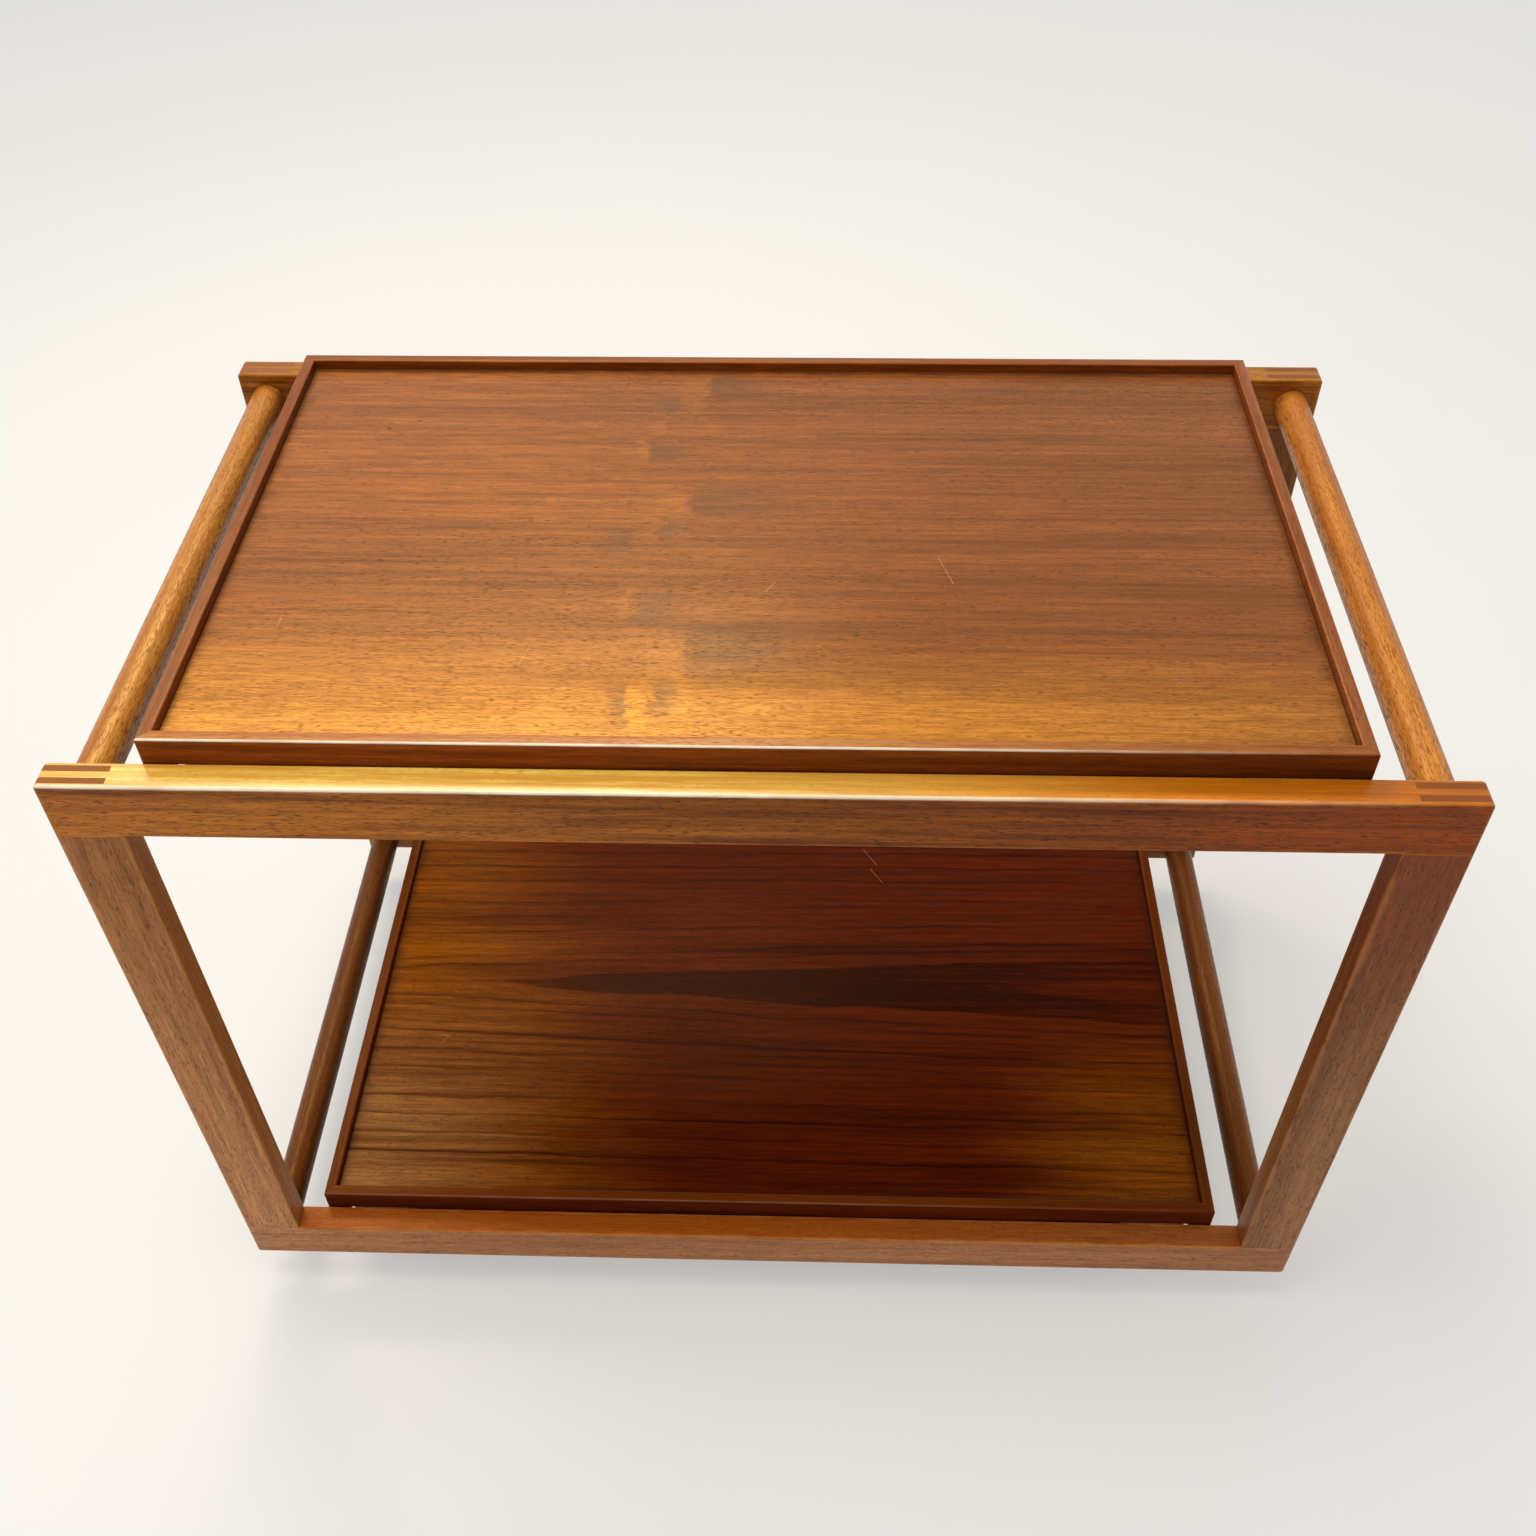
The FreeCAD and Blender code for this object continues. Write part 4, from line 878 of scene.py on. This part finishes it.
class TROLLEY_OT_upper_panel(TrolleyOperator, bpy.types.Operator):
    """Finish the upper tray's panel"""

    bl_idname = "trolley.upper_panel"
    bl_label = "Upper panel"

    def execute(self, context):
        settings = context.scene.trolley
        figure = settings.figure
        wood = settings.upper_veneer
        node = "upper_tray_panel"
        material, bench, shader = new_material(f"{node}_veneer")
        spot = bench.add("ShaderNodeTexCoord").outputs["Object"]
        place = grain_place(bench, spot, node, "X")
        seed = SEEDS["upper_panel"]
        grain = timber(bench, place, wood, seed, UPPER_PANEL_PITH, wander=0.02, ripple=0.0022)
        along, across, _ = bench.split(spot)
        stray = bench.stray(spot, (36, 110, 0), detail=4, roughness=0.6)
        strayed = bench.vector("MULTIPLY_ADD", stray, (0.034, 0.026, 0), spot)
        streaks = bench.span(bench.noise(spot, (14, 260, 0))[0], 0.32, 0.62, 0.45, 1)
        golden = bench.times(figured_patches(bench, strayed, GOLDEN_PATCHES), streaks)
        smoky = bench.times(figured_patches(bench, strayed, SMOKY_PATCHES), streaks)
        # Painted sheen: a golden front, strongest toward the left
        cloud = bench.noise(spot, (3, 26, 1), detail=3)[0]
        frontward = bench.span(bench.line(cloud, 0.10, across), -0.03, -0.14)
        leftward = bench.span(along, 0.40, 0.12, 0.4, 1)
        front_sheen = bench.times(frontward, leftward, 0.58)
        gold_and_sheen = bench.line(golden, bench.line(frontward, 0.3, 0.13), front_sheen)
        dashed = bench.times(gold_and_sheen, bench.span(grain["Height"], 0.08, 0.32, 0.55, 1.35))
        glowing = bench.mix(dashed, grain["Color"], figure.glow, "SCREEN")
        # Painted shade toward the right of the panel
        rightward = bench.times(bench.span(along, -0.22, 0.26), 0.32)
        darkened = bench.mix(rightward, glowing, wood.dark)
        shaded = bench.mix(bench.times(smoky, 0.72), darkened, figure.smoke)
        base = panel_marks(bench, spot, shaded, node, UPPER_SCRATCHES, settings)
        lacquer(bench, shader, base, grain, wood)
        dress(node, material)
        return {"FINISHED"}


class TROLLEY_OT_lower_panel(TrolleyOperator, bpy.types.Operator):
    """Finish the lower tray's panel"""

    bl_idname = "trolley.lower_panel"
    bl_label = "Lower panel"

    def execute(self, context):
        settings = context.scene.trolley
        figure = settings.figure
        wood = settings.lower_veneer
        node = "lower_tray_panel"
        material, bench, shader = new_material(f"{node}_veneer")
        spot = bench.add("ShaderNodeTexCoord").outputs["Object"]
        place = grain_place(bench, spot, node, "X")
        along, across, _ = bench.split(spot)
        cloud = bench.noise(spot, (4, 30, 1), detail=3)[0]
        strayed = bench.line(cloud, 0.16, along)
        leftward = bench.span(bench.line(across, 0.35, strayed), -0.02, -0.24)
        rightward = bench.times(bench.span(strayed, 0.24, 0.38), bench.span(across, 0.0, -0.16))
        outward = bench.math("MAXIMUM", leftward, rightward)
        # Painted reflection: a pale sheen on the front left corner
        dull = bench.times(bench.span(strayed, -0.06, -0.26), bench.span(across, 0.02, -0.16), 0.75)
        pale = bench.mix(dull, bench.mix(outward, wood.light, figure.sapwood), figure.haze)
        deep = bench.mix(outward, wood.dark, figure.sapwood_lines)
        low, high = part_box(node)
        face = (high.z - low.z) / 2
        grain = timber(
            bench, place, wood, SEEDS["lower_panel"], (*figure.flame_tip, face - figure.flame_depth),
            light=pale, dark=deep, taper=figure.flame_taper, wander=0.008, ripple=0.010,
            heart_radius=figure.flame_depth,
            core_radius=figure.flame_depth - figure.flame_notch * figure.flame_taper,
        )
        base = panel_marks(bench, spot, grain["Color"], node, LOWER_SCRATCHES, settings)
        lacquer(bench, shader, base, grain, wood)
        dress(node, material)
        return {"FINISHED"}


def skin_material(name, group, bump_strength, bump_distance, metallic=0, **inputs):
    """A material whose whole surface comes from one shared group."""
    material, bench, shader = new_material(name)
    spot = bench.add("ShaderNodeTexCoord").outputs["Object"]
    skin = bench.use(group, Place=spot, **inputs)
    bench.wire(shader, Metallic=metallic, Base_Color=skin["Color"], Roughness=skin["Roughness"])
    bench.bump(shader, skin["Height"], bump_strength, bump_distance)
    return material


def metal_material(name, metal, grime, roughness, stretch):
    return skin_material(
        name, "metal_skin", bump_strength=0.1, bump_distance=0.00005, metallic=1, Metal=metal, Grime=grime,
        Roughness=roughness, Stretch=stretch,
    )


def moulded_material(name, base, dust, dust_share, roughness):
    return skin_material(
        name, "moulded_skin", bump_strength=0.2, bump_distance=0.00008, Base=base, Dust=dust,
        Dust_Share=dust_share, Roughness=roughness,
    )


class TROLLEY_OT_castors(TrolleyOperator, bpy.types.Operator):
    """Finish the metal of the castors"""

    bl_idname = "trolley.castors"
    bl_label = "Castors"

    def execute(self, context):
        metals = context.scene.trolley.metals
        steel = metal_material("zinc_steel", metals.zinc, metals.zinc_grime, 0.32, (900, 900, 160))
        bright = metal_material("bright_steel", metals.bright, metals.bright_grime, 0.20, (700, 700, 700))
        brass = metal_material("screw_brass", metals.brass, metals.brass_grime, 0.28, (900, 900, 900))
        finishes = {"plate": steel, "fork": steel, "kingpin": bright, "axle": bright, "balls": bright}
        for castor in CASTORS:
            for piece, material in finishes.items():
                dress(f"{castor}_{piece}", material)
        dress("castor_screws", brass)
        return {"FINISHED"}


def select_faces(test):
    """Select the faces of the mesh in hand whose middle and normal pass a test."""
    bpy.ops.mesh.select_mode(type="FACE")
    bpy.ops.mesh.select_all(action="DESELECT")
    bpy.ops.object.mode_set(mode="OBJECT")
    for face in bpy.context.object.data.polygons:
        face.select = test(face.center, face.normal)
    bpy.ops.object.mode_set(mode="EDIT")


def select_edges(test):
    """Select the edges of the mesh in hand both of whose ends pass a test."""
    bpy.ops.mesh.select_mode(type="EDGE")
    bpy.ops.mesh.select_all(action="DESELECT")
    bpy.ops.object.mode_set(mode="OBJECT")
    mesh = bpy.context.object.data
    for edge in mesh.edges:
        edge.select = all(test(mesh.vertices[end].co) for end in edge.vertices)
    bpy.ops.object.mode_set(mode="EDIT")


def faces_sideways(spot, normal):
    return abs(normal.y) > 0.9


def apply_place():
    bpy.ops.object.transform_apply(location=True, rotation=True, scale=True)


class TROLLEY_OT_wheels(TrolleyOperator, bpy.types.Operator):
    """Model the ribbed hubs and grooved tyres of the castors"""

    bl_idname = "trolley.wheels"
    bl_label = "Wheels"
    hub_sides = 64
    tyre_sides = 96
    weld_distance = 0.00001
    smooth_angle = math.radians(35)
    sharp_angle = math.radians(40)

    def execute(self, context):
        wheels = context.scene.trolley.wheels
        plastic = moulded_material("hub_plastic", wheels.hub_colour, wheels.dust, 0.35, roughness=0.42)
        rubber = moulded_material("tyre_rubber", wheels.tyre_colour, wheels.dust, 0.5, roughness=0.72)
        first = CASTORS[0]
        hub = self.model_hub(f"{first}_wheel_hub", wheels)
        tyre = self.model_tyre(f"{first}_tyre", wheels)
        for piece, name, slot, material in ((hub, "wheel_hub", "hub_plastic", plastic),
                                            (tyre, "tyre", "tyre_rubber", rubber)):
            piece.data.materials.append(material)
            start = self.middle(f"{first}_{name}")
            copies = [self.copy(piece, self.middle(f"{castor}_{name}") - start) for castor in CASTORS[1:]]
            for castor, made in zip(CASTORS, (piece, *copies)):
                made.name = f"{castor}_moulded_{name}"
                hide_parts(f"{castor}_{name}")
                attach(made, f"{castor}_wheel")
        return {"FINISHED"}

    def middle(self, node):
        low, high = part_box(node)
        return (low + high) / 2

    def turned_blank(self, node, sides):
        """A cylinder as large as a node, on an axle along Y; its middle, radius and half width."""
        low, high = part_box(node)
        middle = (low + high) / 2
        radius = (high.x - low.x) / 2
        bpy.ops.object.select_all(action="DESELECT")
        bpy.ops.mesh.primitive_cylinder_add(
            vertices=sides, radius=radius, depth=high.y - low.y, location=middle,
            rotation=(math.pi / 2, 0, 0),
        )
        apply_place()
        bpy.ops.object.mode_set(mode="EDIT")
        return middle, radius, (high.y - low.y) / 2

    def bore(self, middle, radius, reach):
        """Open the two innermost faces of a wheel and join their rims."""
        bpy.ops.mesh.delete(type="FACE")
        slack = radius * 1.02

        def on_rim(spot):
            from_axle = math.hypot(spot.x - middle.x, spot.z - middle.z)
            return from_axle < slack and abs(spot.y - middle.y) > reach / 2

        select_edges(on_rim)
        bpy.ops.mesh.bridge_edge_loops()

    def finish(self):
        bpy.ops.mesh.select_all(action="SELECT")
        bpy.ops.mesh.remove_doubles(threshold=self.weld_distance)
        bpy.ops.mesh.normals_make_consistent(inside=False)
        bpy.ops.object.mode_set(mode="OBJECT")
        bpy.ops.object.shade_smooth_by_angle(angle=self.smooth_angle)
        return bpy.context.object

    def model_hub(self, node, wheels):
        middle, rim, half_width = self.turned_blank(node, self.hub_sides)
        rim_width = 2 * half_width - wheels.rim_recess
        select_faces(faces_sideways)
        bpy.ops.transform.resize(value=(1, rim_width / (2 * half_width), 1), center_override=middle)
        bpy.ops.mesh.inset(thickness=wheels.rim_thickness)
        bpy.ops.transform.resize(value=(1, wheels.web_thickness / rim_width, 1), center_override=middle)
        bpy.ops.mesh.inset(thickness=rim - wheels.rim_thickness - wheels.boss_radius)
        bpy.ops.mesh.extrude_region_move()
        boss_stretch = wheels.boss_width / wheels.web_thickness
        bpy.ops.transform.resize(value=(1, boss_stretch, 1), center_override=middle)
        bpy.ops.mesh.inset(thickness=wheels.boss_radius - wheels.bore_radius)
        self.bore(middle, wheels.bore_radius, half_width)
        bpy.ops.mesh.select_all(action="DESELECT")
        bpy.ops.mesh.edges_select_sharp(sharpness=self.sharp_angle)
        bpy.ops.mesh.bevel(offset=wheels.hub_bevel, segments=3)
        hub = self.finish()
        ribs = self.model_ribs(middle, rim, wheels)
        ribs.select_set(True)
        hub.select_set(True)
        bpy.context.view_layer.objects.active = hub
        bpy.ops.object.join()
        return hub

    def model_ribs(self, middle, rim, wheels):
        """One rib from boss to rim, through the web, spun round the axle."""
        inner = wheels.boss_radius - wheels.rib_overlap
        outer = rim - wheels.rim_thickness + wheels.rib_overlap
        place = middle + Vector(((inner + outer) / 2, 0, 0))
        bpy.ops.object.select_all(action="DESELECT")
        bpy.ops.mesh.primitive_cube_add(size=1, location=place)
        bpy.context.object.scale = (outer - inner, wheels.rib_width, wheels.rib_thickness)
        apply_place()
        bpy.ops.object.mode_set(mode="EDIT")
        bpy.ops.mesh.select_all(action="SELECT")
        bpy.ops.mesh.bevel(offset=wheels.rib_thickness / 4, segments=2)
        bpy.ops.mesh.select_all(action="SELECT")
        bpy.ops.mesh.spin(
            steps=wheels.rib_count, dupli=True, angle=2 * math.pi, center=middle, axis=(0, 1, 0)
        )
        return self.finish()

    def model_tyre(self, node, wheels):
        middle, tread, half_width = self.turned_blank(node, self.tyre_sides)

        def from_axle(spot):
            return math.hypot(spot.x - middle.x, spot.z - middle.z)

        def in_groove(spot, normal):
            aside = abs(abs(spot.y - middle.y) - wheels.groove_place)
            on_tread = from_axle(spot) > tread * 0.95 and abs(normal.y) < 0.1
            return on_tread and aside < wheels.groove_width / 4

        def on_shoulder(spot):
            return from_axle(spot) > tread * 0.99 and abs(spot.y - middle.y) > half_width * 0.98

        select_faces(faces_sideways)
        bpy.ops.mesh.inset(thickness=wheels.tyre_thickness)
        self.bore(middle, tread - wheels.tyre_thickness, half_width)
        for side, edge in itertools.product((-1, 1), (-0.5, 0.5)):
            cut = middle.y + side * wheels.groove_place + edge * wheels.groove_width
            bpy.ops.mesh.select_all(action="SELECT")
            bpy.ops.mesh.bisect(plane_co=(0, cut, 0), plane_no=(0, 1, 0))
        select_faces(in_groove)
        bpy.ops.mesh.extrude_region_move()
        shrink = (tread - wheels.groove_depth) / tread
        bpy.ops.transform.resize(value=(shrink, 1, shrink), center_override=middle)
        select_edges(on_shoulder)
        bpy.ops.mesh.bevel(offset=wheels.shoulder, segments=7)
        return self.finish()

    def copy(self, piece, shift):
        """A copy with its own mesh, moved within it."""
        bpy.ops.object.select_all(action="DESELECT")
        piece.select_set(True)
        bpy.context.view_layer.objects.active = piece
        bpy.ops.object.duplicate(linked=False)
        bpy.ops.transform.translate(value=shift)
        apply_place()
        return bpy.context.object


class TROLLEY_OT_stage(TrolleyOperator, bpy.types.Operator):
    """Lay the floor, light the trolley and set the camera"""

    bl_idname = "trolley.stage"
    bl_label = "Stage"

    def execute(self, context):
        stage = context.scene.trolley.stage
        self.lay_floor(stage)
        self.light_sky(context.scene, stage)
        self.hang_lamp(stage, "ceiling")
        self.hang_lamp(stage, "rear")
        self.set_camera(context.scene, stage)
        context.scene.view_settings.view_transform = "Standard"
        return {"FINISHED"}

    def lay_floor(self, stage):
        bpy.ops.object.select_all(action="DESELECT")
        bpy.ops.mesh.primitive_circle_add(vertices=96, radius=stage.floor_radius, fill_type="NGON")
        floor = bpy.context.object
        floor.name = "floor"
        material, bench, shader = new_material("pale_floor")
        spot = bench.add("ShaderNodeTexCoord").outputs["Object"]
        cloud = bench.noise(spot, (3, 3, 3), detail=4)[0]
        tint = bench.shade(stage.floor, bench.line(cloud, 0.04, 0.98))
        bench.wire(shader, Base_Color=tint, Roughness=0.6, Specular_IOR_Level=0.2)
        pale = bench.add("ShaderNodeEmission", {"Color": stage.backdrop, "Strength": 1})
        shown = bench.times(self.seen_rays(bench), stage.backdrop_share)
        bench.blend(shown, shader, pale, "Material Output")
        floor.data.materials.append(material)

    def seen_rays(self, bench):
        """Rays that show the backdrop: the camera's and those in reflections."""
        ray = bench.add("ShaderNodeLightPath").outputs
        shown = bench.math("ADD", ray["Is Camera Ray"], ray["Is Glossy Ray"], clamp=True)
        return bench.math("ADD", shown, ray["Is Transmission Ray"], clamp=True)

    def light_sky(self, scene, stage):
        """Light from all round, stronger at the left; the camera and reflections see a pale backdrop."""
        world = bpy.data.worlds.new("studio")
        scene.world = world
        world.use_nodes = True
        bench = Bench(world.node_tree)
        way = bench.split(bench.add("ShaderNodeTexCoord").outputs["Generated"])[0]
        leaning = bench.span(way, -1, 1, 1 + stage.sky_lean, 1 - stage.sky_lean)
        light = world.node_tree.nodes["Background"]
        bench.wire(light, Color=stage.sky, Strength=bench.times(leaning, stage.sky_strength))
        seen = bench.add("ShaderNodeBackground", {"Color": stage.backdrop, "Strength": 1})
        bench.blend(self.seen_rays(bench), light, seen, "World Output")

    def hang_lamp(self, stage, name):
        """A soft lamp that looks at the middle of the upper tray."""
        place = Vector(getattr(stage, f"{name}_place"))
        aim = Vector((0, 0, cad_box[1][2])) - place
        turn = aim.to_track_quat("-Z", "Y").to_euler()
        bpy.ops.object.light_add(type="AREA", location=place, rotation=turn)
        lamp = bpy.context.object
        lamp.name = f"{name}_lamp"
        lamp.data.shape = "RECTANGLE"
        lamp.data.size = getattr(stage, f"{name}_width")
        lamp.data.size_y = getattr(stage, f"{name}_depth")
        lamp.data.energy = getattr(stage, f"{name}_power")
        lamp.data.color = getattr(stage, f"{name}_colour")

    def set_camera(self, scene, stage):
        bpy.ops.object.camera_add(location=stage.camera_place, rotation=stage.camera_turn)
        camera = bpy.context.object
        camera.name = "camera"
        camera.data.lens = stage.lens
        camera.data.sensor_width = stage.sensor
        scene.camera = camera


class TROLLEY_PT_sidebar(bpy.types.Panel):
    """Lists the trolley's operators and settings"""

    bl_idname = "TROLLEY_PT_sidebar"
    bl_label = "Serving Trolley"
    bl_space_type = "VIEW_3D"
    bl_region_type = "UI"
    bl_category = "Trolley"

    def draw(self, context):
        layout = self.layout
        for operator in OPERATORS:
            layout.operator(operator.bl_idname)
        settings = context.scene.trolley
        for name in settings.__annotations__:
            group = getattr(settings, name)
            box = layout.box()
            box.label(text=settings.bl_rna.properties[name].name)
            for key in group.__annotations__:
                box.prop(group, key)


OPERATORS = (
    TROLLEY_OT_side_frames,
    TROLLEY_OT_rods,
    TROLLEY_OT_bearers,
    TROLLEY_OT_tray_lips,
    TROLLEY_OT_upper_panel,
    TROLLEY_OT_lower_panel,
    TROLLEY_OT_castors,
    TROLLEY_OT_wheels,
    TROLLEY_OT_stage,
)
CLASSES = (
    *WOOD_GROUPS.values(),
    WearSettings,
    VeneerFigure,
    MetalSettings,
    WheelSettings,
    StageSettings,
    TrolleySettings,
    *OPERATORS,
    TROLLEY_PT_sidebar,
)


def register():
    for item in CLASSES:
        bpy.utils.register_class(item)
    bpy.types.Scene.trolley = bpy.props.PointerProperty(type=TrolleySettings)


def unregister():
    del bpy.types.Scene.trolley
    for item in reversed(CLASSES):
        bpy.utils.unregister_class(item)


def main():
    register()
    for operator in OPERATORS:
        family, name = operator.bl_idname.split(".")
        getattr(getattr(bpy.ops, family), name)()


if __name__ == "__main__":
    main()
